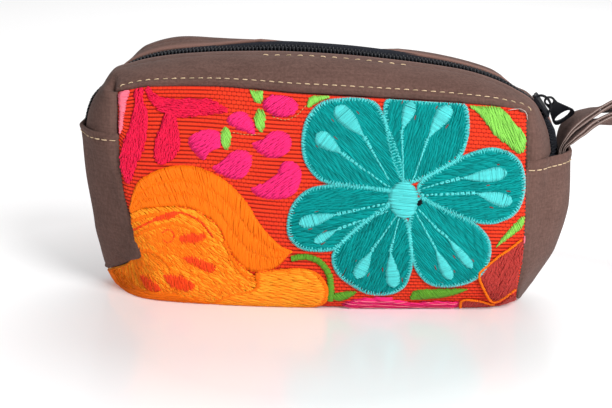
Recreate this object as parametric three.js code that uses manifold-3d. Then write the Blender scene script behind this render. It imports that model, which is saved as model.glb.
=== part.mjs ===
// A soft zip pouch with a wrist strap, standing on its base.
// Millimetres, +Z up, front towards -Y, origin on the floor under the middle of the base.
import * as THREE from 'three';
import { mergeVertices } from 'three/addons/utils/BufferGeometryUtils.js';
import Module from 'manifold-3d';

const wasm = await Module();
wasm.setup();

// Driving sizes
const panelThick = 1.8;
const bandThick = 1.5;
const gussetThick = 1.5;
const tapeThick = 0.8;
const seamGap = 0.85;
const zipHalfGap = 4.5;
const tapeTuck = 8;
const tapeWingDepth = 2.1;
const tapeMiddleDepth = 2.9;
const coilHalfWidth = 2.9;
const coilTopDepth = 0.3;
const strapWidth = 16;
const strapMidY = 7.5;

// The inner block that every wall is thickened towards
const core = { x: 58, y: 6, low: 24, high: 72 };

// Seam loop at each end of the panel, from the top seam down to the middle of the base.
// depth is the distance in front of the middle plane; the back half mirrors it.
const seamKeys = [
  { name: 'top', depth: 24, leftX: -80.5, leftZ: 86, rightX: 80.5, rightZ: 85.5 },
  { name: 'hem', depth: 26, leftX: -80, leftZ: 68.5, rightX: 81, rightZ: 64.3 },
  { name: 'belly', depth: 27, leftX: -77.8, leftZ: 45, rightX: 82, rightZ: 42 },
  { name: 'low', depth: 25.5, leftX: -73.5, leftZ: 27, rightX: 82, rightZ: 23 },
  { name: 'corner', depth: 20, leftX: -76, leftZ: 15.5, rightX: 81.5, rightZ: 9.5 },
  { name: 'foot', depth: 10, leftX: -85.5, leftZ: 8.6, rightX: 82.2, rightZ: 3 },
  { name: 'keel', depth: 0, leftX: -88.8, leftZ: 6, rightX: 83, rightZ: 1 },
];

// Panel depth and height at stations across from left (0) to right (1)
const panelDepths = [
  { across: 0.025, top: 24.1, hem: 26.6, belly: 27.6, low: 27, corner: 21.5, foot: 10.5, keel: 0 },
  { across: 0.07, top: 24.3, hem: 27.4, belly: 28.8, low: 29, corner: 26, foot: 18.2, keel: 0 },
  { across: 0.22, top: 24.6, hem: 28.6, belly: 30.4, low: 30.8, corner: 28.6, foot: 23.6, keel: 0 },
  { across: 0.5, top: 25, hem: 29, belly: 31, low: 30.6, corner: 28, foot: 22.6, keel: 0 },
  { across: 0.78, top: 24.6, hem: 28.4, belly: 29.8, low: 28.4, corner: 24, foot: 16.4, keel: 0 },
  { across: 0.94, top: 24.2, hem: 27, belly: 28.2, low: 26.4, corner: 21, foot: 12.4, keel: 0 },
];
const panelHeights = [
  { across: 0.025, top: 86.6, hem: 66, belly: 44.6, low: 25, corner: 7.4, foot: 1.4, keel: 0 },
  { across: 0.07, top: 87.2, hem: 66, belly: 44, low: 23, corner: 6, foot: 0, keel: 0 },
  { across: 0.22, top: 88.3, hem: 66, belly: 44, low: 22, corner: 6, foot: 0, keel: 0 },
  { across: 0.5, top: 87.8, hem: 65, belly: 43, low: 22, corner: 6.4, foot: 0, keel: 0 },
  { across: 0.78, top: 86.8, hem: 64, belly: 42, low: 22, corner: 7, foot: 0, keel: 0 },
  { across: 0.94, top: 86, hem: 63.4, belly: 42, low: 22.4, corner: 7.6, foot: 0.4, keel: 0 },
];

// The zip ridge, row by row, against the seam point that each row of the band starts from.
// edge left and right: at is the way down the end seam, 0 top to 1 hem; edge top: at is across.
// tilt lifts the back edge of the zip above the front edge; crest swells the back band.
const ridgeRows = [
  { edge: 'left', at: 1, x: -96.8, z: 68.5, tilt: 0, crest: 0 },
  { edge: 'left', at: 0.66, x: -95.8, z: 74, tilt: 0, crest: 0 },
  { edge: 'left', at: 0.33, x: -93.5, z: 79.8, tilt: 0, crest: 0 },
  { edge: 'left', at: 0, x: -89.2, z: 85.6, tilt: 0, crest: 0 },
  { edge: 'top', at: 0.045, x: -83, z: 91, tilt: 0.4, crest: 0.6 },
  { edge: 'top', at: 0.09, x: -76, z: 94.6, tilt: 1.2, crest: 4.6 },
  { edge: 'top', at: 0.165, x: -64, z: 97.4, tilt: 2, crest: 5.2 },
  { edge: 'top', at: 0.26, x: -47, z: 99.4, tilt: 1.9, crest: 3.6 },
  { edge: 'top', at: 0.35, x: -30, z: 100.4, tilt: 2.3, crest: 1.2 },
  { edge: 'top', at: 0.44, x: -15, z: 100.8, tilt: 2.9, crest: 0 },
  { edge: 'top', at: 0.56, x: 8, z: 100.3, tilt: 2.7, crest: 0 },
  { edge: 'top', at: 0.65, x: 24, z: 99.3, tilt: 2.1, crest: 0.7 },
  { edge: 'top', at: 0.74, x: 40, z: 97.9, tilt: 1.2, crest: 2 },
  { edge: 'top', at: 0.835, x: 56, z: 95.8, tilt: 0.8, crest: 2 },
  { edge: 'top', at: 0.9, x: 67, z: 92.9, tilt: 0.5, crest: 1.8 },
  { edge: 'top', at: 0.955, x: 76.6, z: 88.8, tilt: 0.2, crest: -0.4 },
  { edge: 'right', at: 0, x: 84, z: 84.2, tilt: 0.6, crest: 0 },
  { edge: 'right', at: 0.33, x: 87.8, z: 78.2, tilt: 2.2, crest: 0 },
  { edge: 'right', at: 0.66, x: 90.5, z: 71.6, tilt: 2.7, crest: 0 },
  { edge: 'right', at: 1, x: 92, z: 64.3, tilt: 2.8, crest: 0 },
];

// How far each gusset swells out of the plane of its seam, at each seam key
const gussetSwell = [
  { name: 'hem', left: 18.8, right: 19.7 },
  { name: 'belly', left: 18.2, right: 19 },
  { name: 'low', left: 20, right: 15 },
  { name: 'corner', left: 15.4, right: 7.4 },
  { name: 'foot', left: 4.4, right: 2.4 },
  { name: 'keel', left: 0.8, right: 0.6 },
];
// Where the full swell begins and ends on the way from the front seam (-1) to the back seam (1)
const gussetFull = { left: { from: -0.28, to: 0.28 }, right: { from: -0.06, to: 0.68 } };
const gussetRound = 1.7;
const gussetLastKey = 5.6;

// Middle line of the strap in the XZ plane, from the outer sewn end round the loop and back.
// roll turns the strip about its own line, near edge up; thick is the folded strip's thickness.
const strapRoute = [
  { x: 98.15, z: 57, roll: 0, thick: 1.3 },
  { x: 98.15, z: 65, roll: 0, thick: 1.3 },
  { x: 99.9, z: 68.2, roll: 3, thick: 1.5 },
  { x: 102.8, z: 70.4, roll: 6, thick: 1.7 },
  { x: 106, z: 72.4, roll: 11, thick: 1.9 },
  { x: 110.6, z: 74.6, roll: 18, thick: 2.1 },
  { x: 117, z: 75.8, roll: 25, thick: 2.2 },
  { x: 127, z: 74.2, roll: 24, thick: 2.2 },
  { x: 137.6, z: 67.8, roll: 20, thick: 2.2 },
  { x: 146, z: 58, roll: 14, thick: 2.2 },
  { x: 152, z: 46, roll: 9, thick: 2.2 },
  { x: 156.6, z: 33, roll: 5, thick: 2.2 },
  { x: 160.6, z: 21, roll: 2, thick: 2.2 },
  { x: 164.4, z: 11, roll: 0, thick: 2.2 },
  { x: 168.8, z: 4, roll: 0, thick: 2.2 },
  { x: 174.6, z: 1.2, roll: 0, thick: 2.2 },
  { x: 180.6, z: 3.6, roll: 0, thick: 2.2 },
  { x: 184.2, z: 10.5, roll: 0, thick: 2.2 },
  { x: 185, z: 21, roll: 1, thick: 2.2 },
  { x: 183.6, z: 34, roll: 3, thick: 2.2 },
  { x: 179.6, z: 49, roll: 6, thick: 2.2 },
  { x: 173, z: 62.5, roll: 10, thick: 2.2 },
  { x: 164, z: 74, roll: 15, thick: 2.2 },
  { x: 152, z: 82.2, roll: 20, thick: 2.3 },
  { x: 138, z: 85.8, roll: 24, thick: 2.4 },
  { x: 125, z: 84.2, roll: 25, thick: 2.4 },
  { x: 116.7, z: 81.2, roll: 24, thick: 2.3 },
  { x: 108.5, z: 78.2, roll: 17, thick: 2 },
  { x: 101.8, z: 74.2, roll: 9, thick: 1.7 },
  { x: 98.3, z: 69.6, roll: 4, thick: 1.5 },
  { x: 96.5, z: 64, roll: 0, thick: 1.3 },
  { x: 96.5, z: 57, roll: 0, thick: 1.3 },
];

// Slider and pull
const sliderRow = 16.5;
const slider = {
  length: 10.4, shoulder: 7.6, tail: 6.2, plate: 1.2, lift: 0.6, rail: 0.7, railDrop: 1.8,
};
const crown = { halfSpan: 4.4, rise: 3.6, bar: 0.9, width: 1.1, eyeAt: 0.3 };
const pull = {
  eyeBack: 3, eyeHalf: 2.2, holeLong: 2.2, holeHalf: 1.4, flareAt: 3.4, length: 15.4,
  endWidth: 9.8, thick: 0.9, windowAt: 11.9, windowLong: 1.9, windowHalf: 3.7,
};
const pullDirection = new THREE.Vector3(0.53, 0.61, -0.59).normalize();
const pullBreadth = new THREE.Vector3(0.744, -0.093, 0.646);

const materials = {
  redWeave: new THREE.MeshStandardMaterial({ color: 0xa93a2c, roughness: 0.9 }),
  brownCloth: new THREE.MeshStandardMaterial({ color: 0x64493e, roughness: 0.95 }),
  blackTape: new THREE.MeshStandardMaterial({ color: 0x17161a, roughness: 0.9 }),
  blackCoil: new THREE.MeshStandardMaterial({ color: 0x1c1b1f, roughness: 0.5 }),
  blackMetal: new THREE.MeshStandardMaterial({ color: 0x121214, roughness: 0.35, metalness: 0.6 }),
};

// Smooth place on a row of points; place counts rows from 0.
function along(points, place) {
  const curve = new THREE.CatmullRomCurve3(points, false, 'centripetal');
  return curve.getPoint(THREE.MathUtils.clamp(place / (points.length - 1), 0, 1));
}

// The direction in which a wall at p grows thicker
function inward(p) {
  const target = new THREE.Vector3(
    THREE.MathUtils.clamp(p.x, -core.x, core.x),
    THREE.MathUtils.clamp(p.y, -core.y, core.y),
    THREE.MathUtils.clamp(p.z, core.low, core.high),
  );
  return target.sub(p).normalize();
}

function inset(p, distance) {
  return p.clone().addScaledVector(inward(p), distance);
}

// A closed solid between two grids of points that match row by row and column by column
function solidBetween(outer, inner) {
  const rows = outer.length;
  const columns = outer[0].length;
  const positions = [];
  const faces = [];
  for (const grid of [outer, inner]) {
    for (const row of grid) {
      for (const p of row) {
        positions.push(p.x, p.y, p.z);
      }
    }
  }
  const shift = rows * columns;
  const quad = (a, b, c, d) => faces.push(a, b, c, a, c, d);
  for (let i = 0; i + 1 < rows; i += 1) {
    for (let j = 0; j + 1 < columns; j += 1) {
      const a = i * columns + j;
      quad(a, a + 1, a + columns + 1, a + columns);
      quad(shift + a, shift + a + columns, shift + a + columns + 1, shift + a + 1);
    }
  }
  for (let i = 0; i + 1 < rows; i += 1) {
    const a = i * columns;
    const b = a + columns - 1;
    quad(a, a + columns, shift + a + columns, shift + a);
    quad(b + columns, b, shift + b, shift + b + columns);
  }
  for (let j = 0; j + 1 < columns; j += 1) {
    const last = (rows - 1) * columns + j;
    quad(j + 1, j, shift + j, shift + j + 1);
    quad(last, last + 1, shift + last + 1, shift + last);
  }
  const geometry = new THREE.BufferGeometry();
  geometry.setAttribute('position', new THREE.Float32BufferAttribute(positions, 3));
  geometry.setIndex(faces);
  if (signedVolume(geometry) < 0) {
    for (let k = 0; k < faces.length; k += 3) {
      [faces[k + 1], faces[k + 2]] = [faces[k + 2], faces[k + 1]];
    }
    geometry.setIndex(faces);
  }
  geometry.computeVertexNormals();
  return geometry;
}

function signedVolume(geometry) {
  const p = geometry.getAttribute('position');
  const index = geometry.getIndex();
  const a = new THREE.Vector3();
  const b = new THREE.Vector3();
  const c = new THREE.Vector3();
  let sum = 0;
  for (let k = 0; k < index.count; k += 3) {
    a.fromBufferAttribute(p, index.getX(k));
    b.fromBufferAttribute(p, index.getX(k + 1));
    c.fromBufferAttribute(p, index.getX(k + 2));
    sum += a.dot(b.cross(c));
  }
  return sum / 6;
}

// A wall: the outer skin given, thickened inwards
function wall(outer, thick) {
  return solidBetween(outer, outer.map((row) => row.map((p) => inset(p, thick))));
}

// Evenly spaced values from a to b
function steps(a, b, count) {
  return Array.from({ length: count + 1 }, (_, i) => a + ((b - a) * i) / count);
}

// Panel: front, base and back in one length
const keyCount = seamKeys.length;

function girthPoints(pointAtKey) {
  const front = seamKeys.map((key) => pointAtKey(key, -1));
  const back = seamKeys.slice(0, -1).map((key) => pointAtKey(key, 1)).reverse();
  return front.concat(back);
}

function seamGirth(side) {
  return girthPoints((key, sign) => {
    const x = side === 'left' ? key.leftX : key.rightX;
    const z = side === 'left' ? key.leftZ : key.rightZ;
    return new THREE.Vector3(x, sign * key.depth, z);
  });
}

function stationGirth(depths, heights) {
  return girthPoints((key, sign) => new THREE.Vector3(
    THREE.MathUtils.lerp(key.leftX, key.rightX, depths.across),
    sign * depths[key.name],
    heights[key.name],
  ));
}

const seamLeft = seamGirth('left');
const seamRight = seamGirth('right');
const stationGirths = panelDepths.map((depths, i) => stationGirth(depths, panelHeights[i]));
const girths = [seamLeft, ...stationGirths, seamRight];
const stationAcross = [0, ...panelDepths.map((row) => row.across), 1];

// The panel's outer skin; girth runs 0 (front top seam) to 12 (back top seam), across 0 to 1.
function panelPoint(girth, across) {
  let span = 0;
  while (span < stationAcross.length - 2 && across > stationAcross[span + 1]) {
    span += 1;
  }
  const width = stationAcross[span + 1] - stationAcross[span];
  const place = span + (across - stationAcross[span]) / width;
  const p = along(girths.map((points) => along(points, girth)), place);
  p.z = Math.max(p.z, 0);
  return p;
}

const panelAcross = [
  ...steps(0, 0.025, 3), ...steps(0.025, 0.07, 2).slice(1), ...steps(0.07, 0.22, 3).slice(1),
  ...steps(0.22, 0.78, 8).slice(1), ...steps(0.78, 0.94, 3).slice(1), ...steps(0.94, 1, 2).slice(1),
];
const panelGirth = steps(0, 2 * (keyCount - 1), 36);
const panelSkin = panelGirth.map((g) => panelAcross.map((u) => panelPoint(g, u)));
const mainPanel = wall(panelSkin, panelThick);

// Bands: quarter-round walls from the seam up to the zip
function seamPoint(row, sign) {
  if (row.edge === 'top') {
    return panelPoint(sign < 0 ? 0 : 2 * (keyCount - 1), row.at);
  }
  const seam = row.edge === 'left' ? seamLeft : seamRight;
  return along(seam, sign < 0 ? row.at : 2 * (keyCount - 1) - row.at);
}

const ridgePoints = ridgeRows.map((row) => new THREE.Vector3(row.x, 0, row.z));
const ridgeTilts = ridgeRows.map((row) => new THREE.Vector3(row.tilt, 0, 0));
const ridgeCrests = ridgeRows.map((row) => new THREE.Vector3(row.crest, 0, 0));
const lastRow = ridgeRows.length - 1;
const bandTrim = 0.06;
const bandPlaces = steps(bandTrim, lastRow - bandTrim, 40);
const bandTurns = steps(0, 1, 6);

// The ridge at a place along the zip and a distance y across it; past either hem it runs straight down.
function ridgeAt(place, y) {
  const inside = THREE.MathUtils.clamp(place, 0, lastRow);
  const p = along(ridgePoints, inside);
  p.z -= Math.abs(place - inside);
  const rise = along(ridgeTilts, inside).x * THREE.MathUtils.clamp(y / (2 * zipHalfGap) + 0.5, 0, 1);
  p.addScaledVector(inward(p), -rise);
  p.y = y;
  return p;
}

function bandSkin(sign) {
  const seam = ridgeRows.map((row) => seamPoint(row, sign));
  return bandPlaces.map((place) => {
    const ridge = ridgeAt(place, sign * zipHalfGap);
    const start = along(seam, place);
    const crest = sign > 0 ? along(ridgeCrests, place).x : 0;
    const row = bandTurns.map((turn) => {
      const angle = (turn * Math.PI) / 2;
      return new THREE.Vector3(
        THREE.MathUtils.lerp(start.x, ridge.x, Math.sin(angle)),
        THREE.MathUtils.lerp(ridge.y, start.y, Math.cos(angle)),
        THREE.MathUtils.lerp(start.z, ridge.z, Math.sin(angle)) + crest * Math.sin(2 * angle),
      );
    });
    const first = row[1].clone().sub(row[0]).setLength(seamGap);
    row[0].add(first);
    return row;
  });
}

const frontBand = wall(bandSkin(-1), bandThick);
const backBand = wall(bandSkin(1), bandThick);

// Zip tape and coil follow the ridge, the tape tucked under the bands and below both hems
// A strip along the ridge; columns holds how far out each column lies and how deep below the ridge
function ribbon(places, columns, extraDepth) {
  return places.map((place) => columns.map((column) => {
    const p = ridgeAt(place, column.y);
    const middle = new THREE.Vector3(p.x, 0, p.z);
    return p.addScaledVector(inward(middle), column.depth + extraDepth);
  }));
}

const tapeWing = [
  { y: 12, depth: tapeWingDepth + 1.8 },
  { y: 8, depth: tapeWingDepth + 0.5 },
  { y: 5.2, depth: tapeWingDepth },
  { y: 3.3, depth: tapeMiddleDepth },
];
const tapeColumns = [
  ...tapeWing.map((column) => ({ y: -column.y, depth: column.depth })),
  ...tapeWing.slice().reverse(),
];
const tapePlaces = [
  ...steps(-tapeTuck, 0, 2), ...steps(0, lastRow, 38).slice(1),
  ...steps(lastRow, lastRow + tapeTuck, 2).slice(1),
];
const zipTape = solidBetween(
  ribbon(tapePlaces, tapeColumns, 0),
  ribbon(tapePlaces, tapeColumns, tapeThick),
);
const coilPlaces = steps(bandTrim, lastRow - bandTrim, 57);
const coilColumns = [-coilHalfWidth, 0, coilHalfWidth].map((y) => ({ y, depth: coilTopDepth }));
const zipCoil = solidBetween(
  ribbon(coilPlaces, coilColumns, 0),
  ribbon(coilPlaces, coilColumns, tapeMiddleDepth - coilTopDepth - 0.5),
);

// Gussets: each row runs from the front seam to the back seam and swells outwards
function gusset(side) {
  const seam = side === 'left' ? seamLeft : seamRight;
  const sign = side === 'left' ? -1 : 1;
  const full = gussetFull[side];
  const swellRow = gussetSwell.map((row) => new THREE.Vector3(row[side], 0, 0));
  const outer = steps(1, gussetLastKey, 18).map((key) => {
    const front = along(seam, key);
    const back = along(seam, 2 * (keyCount - 1) - key);
    const swell = along(swellRow, key - 1).x;
    const row = steps(-1, 1, 14).map((p) => {
      const point = front.clone().lerp(back, (p + 1) / 2);
      const short = p < full.from ? (full.from - p) / (full.from + 1) : (p - full.to) / (1 - full.to);
      point.x += sign * swell * (1 - Math.max(0, short) ** gussetRound);
      return point;
    });
    const step = row[1].clone().sub(row[0]).setLength(seamGap);
    row[0].add(step);
    row[14].add(new THREE.Vector3(step.x, -step.y, step.z));
    return row;
  });
  return wall(outer, gussetThick);
}

const leftGusset = gusset('left');
const rightGusset = gusset('right');

// Strap: one flat strip bent along its route
const routePoints = strapRoute.map((row) => new THREE.Vector3(row.x, 0, row.z));
const routeTurns = strapRoute.map((row) => new THREE.Vector3(row.roll, row.thick, 0));
const routeCurve = new THREE.CatmullRomCurve3(routePoints, false, 'centripetal');

function strapSide(side) {
  return steps(0, 1, 84).map((t) => {
    const place = routeCurve.getUtoTmapping(t);
    const p = routeCurve.getPoint(place);
    const tangent = routeCurve.getTangent(place);
    const normal = new THREE.Vector3(tangent.z, 0, -tangent.x);
    const turn = along(routeTurns, place * (routeTurns.length - 1));
    const roll = THREE.MathUtils.degToRad(turn.x);
    const up = normal.z < 0 ? -1 : 1;
    const breadth = new THREE.Vector3(0, Math.cos(roll), 0)
      .addScaledVector(normal, -up * Math.sin(roll));
    const face = new THREE.Vector3(0, up * Math.sin(roll), 0).addScaledVector(normal, Math.cos(roll));
    return [-0.5, 0.5].map((f) => {
      const corner = p.clone().addScaledVector(face, (side * turn.y) / 2);
      corner.addScaledVector(breadth, f * strapWidth);
      corner.y += strapMidY;
      return corner;
    });
  });
}

const wristStrap = solidBetween(strapSide(1), strapSide(-1));

// Booleans
function toManifold(geometry, matrix) {
  const source = geometry.index ? geometry.toNonIndexed() : geometry.clone();
  const bare = new THREE.BufferGeometry();
  bare.setAttribute('position', source.getAttribute('position').clone());
  if (matrix) {
    bare.applyMatrix4(matrix);
  }
  const merged = mergeVertices(bare, 1e-4);
  return new wasm.Manifold(new wasm.Mesh({
    numProp: 3,
    vertProperties: merged.attributes.position.array,
    triVerts: new Uint32Array(merged.index.array),
  }));
}

function fromManifold(solid) {
  const mesh = solid.getMesh();
  const geometry = new THREE.BufferGeometry();
  geometry.setAttribute('position', new THREE.Float32BufferAttribute(mesh.vertProperties, 3));
  geometry.setIndex(Array.from(mesh.triVerts));
  return geometry.toNonIndexed();
}

// Slider in its own frame: X along the zip, Y across it, Z outwards from the ridge
function sliderSolid() {
  const half = slider.length / 2;
  const outline = new THREE.Shape();
  outline.moveTo(-half, -slider.shoulder / 2 + 1.6);
  outline.quadraticCurveTo(-half, -slider.shoulder / 2, -half + 1.8, -slider.shoulder / 2);
  outline.lineTo(half - 1, -slider.tail / 2);
  outline.quadraticCurveTo(half, -slider.tail / 2, half, -slider.tail / 2 + 1);
  outline.lineTo(half, slider.tail / 2 - 1);
  outline.quadraticCurveTo(half, slider.tail / 2, half - 1, slider.tail / 2);
  outline.lineTo(-half + 1.8, slider.shoulder / 2);
  outline.quadraticCurveTo(-half, slider.shoulder / 2, -half, slider.shoulder / 2 - 1.6);
  const plate = toManifold(
    new THREE.ExtrudeGeometry(outline, {
      depth: slider.plate - 0.5, bevelEnabled: true, bevelThickness: 0.25, bevelSize: 0.25,
      bevelOffset: -0.25, bevelSegments: 2, curveSegments: 5,
    }),
    new THREE.Matrix4().makeTranslation(0, 0, slider.lift + 0.25),
  );
  let solid = plate;
  for (const side of [-1, 1]) {
    const rail = new THREE.BoxGeometry(slider.length * 0.4, slider.rail, slider.railDrop);
    const y = side * (coilHalfWidth + 0.42 + slider.rail / 2);
    const z = slider.lift + 0.5 - slider.railDrop / 2;
    solid = solid.add(toManifold(rail, new THREE.Matrix4().makeTranslation(-2.4, y, z)));
  }
  const arch = new THREE.Shape();
  const inHalf = crown.halfSpan - crown.bar;
  const outRise = (crown.rise * 4) / 3;
  const inRise = ((crown.rise - crown.bar) * 4) / 3;
  arch.moveTo(-crown.halfSpan, 0);
  arch.bezierCurveTo(-crown.halfSpan, outRise, crown.halfSpan, outRise, crown.halfSpan, 0);
  arch.lineTo(inHalf, 0);
  arch.bezierCurveTo(inHalf, inRise, -inHalf, inRise, -inHalf, 0);
  const bar = new THREE.ExtrudeGeometry(arch, {
    depth: crown.width - 0.3, bevelEnabled: true, bevelThickness: 0.15, bevelSize: 0.15,
    bevelOffset: -0.15, bevelSegments: 1, curveSegments: 14,
  });
  const stand = new THREE.Matrix4().makeRotationX(Math.PI / 2);
  stand.setPosition(0, crown.width / 2 - 0.15, slider.lift + slider.plate - 0.3);
  return fromManifold(solid.add(toManifold(bar, stand)));
}

const sliderSpot = ridgeAt(sliderRow, 0);
const sliderAhead = ridgeAt(sliderRow + 0.2, 0);
const sliderAlong = sliderAhead.sub(sliderSpot).normalize();
const sliderWide = ridgeAt(sliderRow, zipHalfGap).sub(ridgeAt(sliderRow, -zipHalfGap));
const sliderOut = new THREE.Vector3().crossVectors(sliderAlong, sliderWide).normalize();
const sliderAcross = new THREE.Vector3().crossVectors(sliderOut, sliderAlong);

// Pull: eye and flared tab with an oval window, X along the tab from the eye's middle
function pullGeometry() {
  const end = pull.length;
  const wide = pull.endWidth / 2;
  const eyeHalf = pull.eyeHalf;
  const outline = new THREE.Shape();
  outline.moveTo(-pull.eyeBack, 0);
  outline.bezierCurveTo(-pull.eyeBack, -1.2, -1.4, -eyeHalf, 0, -eyeHalf);
  outline.lineTo(pull.flareAt, -eyeHalf);
  outline.lineTo(end - 4, -wide + 0.3);
  outline.quadraticCurveTo(end - 3.2, -wide, end - 2.4, -wide);
  outline.quadraticCurveTo(end, -wide, end, -wide + 2.4);
  outline.lineTo(end, wide - 2.4);
  outline.quadraticCurveTo(end, wide, end - 2.4, wide);
  outline.quadraticCurveTo(end - 3.2, wide, end - 4, wide - 0.3);
  outline.lineTo(pull.flareAt, eyeHalf);
  outline.lineTo(0, eyeHalf);
  outline.bezierCurveTo(-1.4, eyeHalf, -pull.eyeBack, 1.2, -pull.eyeBack, 0);
  const eye = new THREE.Path();
  eye.absellipse(0, 0, pull.holeLong, pull.holeHalf, 0, 2 * Math.PI, true);
  const window = new THREE.Path();
  window.absellipse(pull.windowAt, 0, pull.windowLong, pull.windowHalf, 0, 2 * Math.PI, true);
  outline.holes.push(eye, window);
  const geometry = new THREE.ExtrudeGeometry(outline, {
    depth: pull.thick - 0.3, bevelEnabled: true, bevelThickness: 0.15, bevelSize: 0.15,
    bevelOffset: -0.15, bevelSegments: 1, curveSegments: 7,
  });
  geometry.translate(0, 0, -(pull.thick - 0.3) / 2);
  return geometry;
}

const eyeFall = (crown.eyeAt / crown.halfSpan) ** 2;
const eyeHeight = slider.lift + slider.plate - 0.3 + (crown.rise - crown.bar / 2) * (1 - eyeFall * 0.75);
const eyeSpot = sliderSpot.clone()
  .addScaledVector(sliderOut, eyeHeight)
  .addScaledVector(sliderAlong, crown.eyeAt);
pullBreadth.addScaledVector(pullDirection, -pullBreadth.dot(pullDirection)).normalize();
const pullNormal = new THREE.Vector3().crossVectors(pullDirection, pullBreadth);

// Assembly
const group = new THREE.Group();
group.name = 'woven_zip_pouch';

function add(name, geometry, material) {
  const mesh = new THREE.Mesh(geometry, material);
  mesh.name = name;
  group.add(mesh);
  return mesh;
}

add('main_panel', mainPanel, materials.redWeave);
add('front_band', frontBand, materials.brownCloth);
add('back_band', backBand, materials.brownCloth);
add('left_gusset', leftGusset, materials.brownCloth);
add('right_gusset', rightGusset, materials.brownCloth);
add('zip_tape', zipTape, materials.blackTape);
add('zip_coil', zipCoil, materials.blackCoil);
add('wrist_strap', wristStrap, materials.brownCloth);

const sliderMesh = add('zip_slider', sliderSolid(), materials.blackMetal);
sliderMesh.position.copy(sliderSpot);
sliderMesh.quaternion.setFromRotationMatrix(
  new THREE.Matrix4().makeBasis(sliderAlong, sliderAcross, sliderOut),
);

const pullMesh = add('zip_pull', pullGeometry(), materials.blackMetal);
pullMesh.position.copy(eyeSpot);
pullMesh.quaternion.setFromRotationMatrix(
  new THREE.Matrix4().makeBasis(pullDirection, pullBreadth, pullNormal),
);

export default group;
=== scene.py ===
"""A soft zip pouch with a wrist strap: its cloth, embroidery, stitching, zip and a plain stage.

Run as a script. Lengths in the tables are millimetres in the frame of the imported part: +Z up, the front
towards -Y, the origin on the floor under the middle of the base.
"""
import math

import bpy
import numpy as np
from bpy.props import FloatProperty, FloatVectorProperty, PointerProperty
from mathutils import Matrix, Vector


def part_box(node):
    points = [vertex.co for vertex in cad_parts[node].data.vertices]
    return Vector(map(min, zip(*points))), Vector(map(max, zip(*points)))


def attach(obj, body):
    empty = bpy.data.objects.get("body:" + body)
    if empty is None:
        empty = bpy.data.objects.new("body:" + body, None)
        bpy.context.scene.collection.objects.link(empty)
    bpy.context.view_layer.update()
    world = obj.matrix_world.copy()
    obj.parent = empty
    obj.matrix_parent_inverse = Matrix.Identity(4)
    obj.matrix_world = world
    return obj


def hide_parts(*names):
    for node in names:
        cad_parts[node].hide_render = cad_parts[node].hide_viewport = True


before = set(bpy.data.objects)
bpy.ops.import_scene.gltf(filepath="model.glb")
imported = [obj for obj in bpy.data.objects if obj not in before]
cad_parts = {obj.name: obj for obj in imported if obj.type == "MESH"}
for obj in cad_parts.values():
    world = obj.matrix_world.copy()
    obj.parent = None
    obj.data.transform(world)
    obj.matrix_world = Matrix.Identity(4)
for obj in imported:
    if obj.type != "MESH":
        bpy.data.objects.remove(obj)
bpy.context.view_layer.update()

bl_info = {
    "name": "Embroidered zip pouch",
    "version": (1, 0, 0),
    "blender": (4, 5, 0),
    "location": "View3D > Sidebar > Pouch",
    "description": "Dresses a packed zip pouch in woven cloth, embroidery, stitching and a coil zip",
    "category": "Object",
}

MM = 0.001
BAG = "bag"

# Walls and clearances
PANEL_THICK = 1.8
BAND_THICK = 1.5
GUSSET_THICK = 1.5
TAPE_THICK = 0.8
ZIP_HALF_GAP = 4.5
# How far the back's upper right corner sinks, and how far the front's top edge rises near its left end
BACK_SINK = 3.0
FRONT_RISE = 1.2
STRAP_WIDTH = 16.0
STRAP_MIDDLE_Y = 7.5
# The cloth's height over the floor under the base, and the embroidery's lowest point there
BASE_LIFT = 0.35
FLOSS_FLOOR = 0.03

# The inner block that every wall is thickened towards: lowest and highest corner
CORE_LOW = np.array([-58.0, -6.0, 24.0])
CORE_HIGH = np.array([58.0, 6.0, 72.0])

# Seam loop at each end of the panel, from the top seam down to the middle of the base:
# depth in front of the middle plane, then x and z at the left end and at the right end
SEAM_KEYS = (
    (24.0, -80.5, 86.0, 80.5, 85.5),
    (26.0, -80.0, 68.5, 81.0, 64.3),
    (27.0, -77.8, 45.0, 82.0, 42.0),
    (25.5, -73.5, 27.0, 82.0, 23.0),
    (20.0, -76.0, 15.5, 81.5, 9.5),
    (10.0, -85.5, 8.6, 82.2, 3.0),
    (0.0, -88.8, 6.0, 83.0, 1.0),
)

# Panel stations across, each with its depth and its height at every seam key
PANEL_STATIONS = (
    (0.025, (24.1, 26.6, 27.6, 27, 21.5, 10.5, 0), (86.6, 66, 44.6, 25, 7.4, 1.4, 0)),
    (0.07, (24.3, 27.4, 28.8, 29, 26, 18.2, 0), (87.2, 66, 44, 23, 6, 0, 0)),
    (0.22, (24.6, 28.6, 30.4, 30.8, 28.6, 23.6, 0), (88.3, 66, 44, 22, 6, 0, 0)),
    (0.5, (25, 29, 31, 30.6, 28, 22.6, 0), (87.8, 65, 43, 22, 6.4, 0, 0)),
    (0.78, (24.6, 28.4, 29.8, 28.4, 24, 16.4, 0), (86.8, 64, 42, 22, 7, 0, 0)),
    (0.94, (24.2, 27, 28.2, 26.4, 21, 12.4, 0), (86, 63.4, 42, 22.4, 7.6, 0.4, 0)),
)

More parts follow.
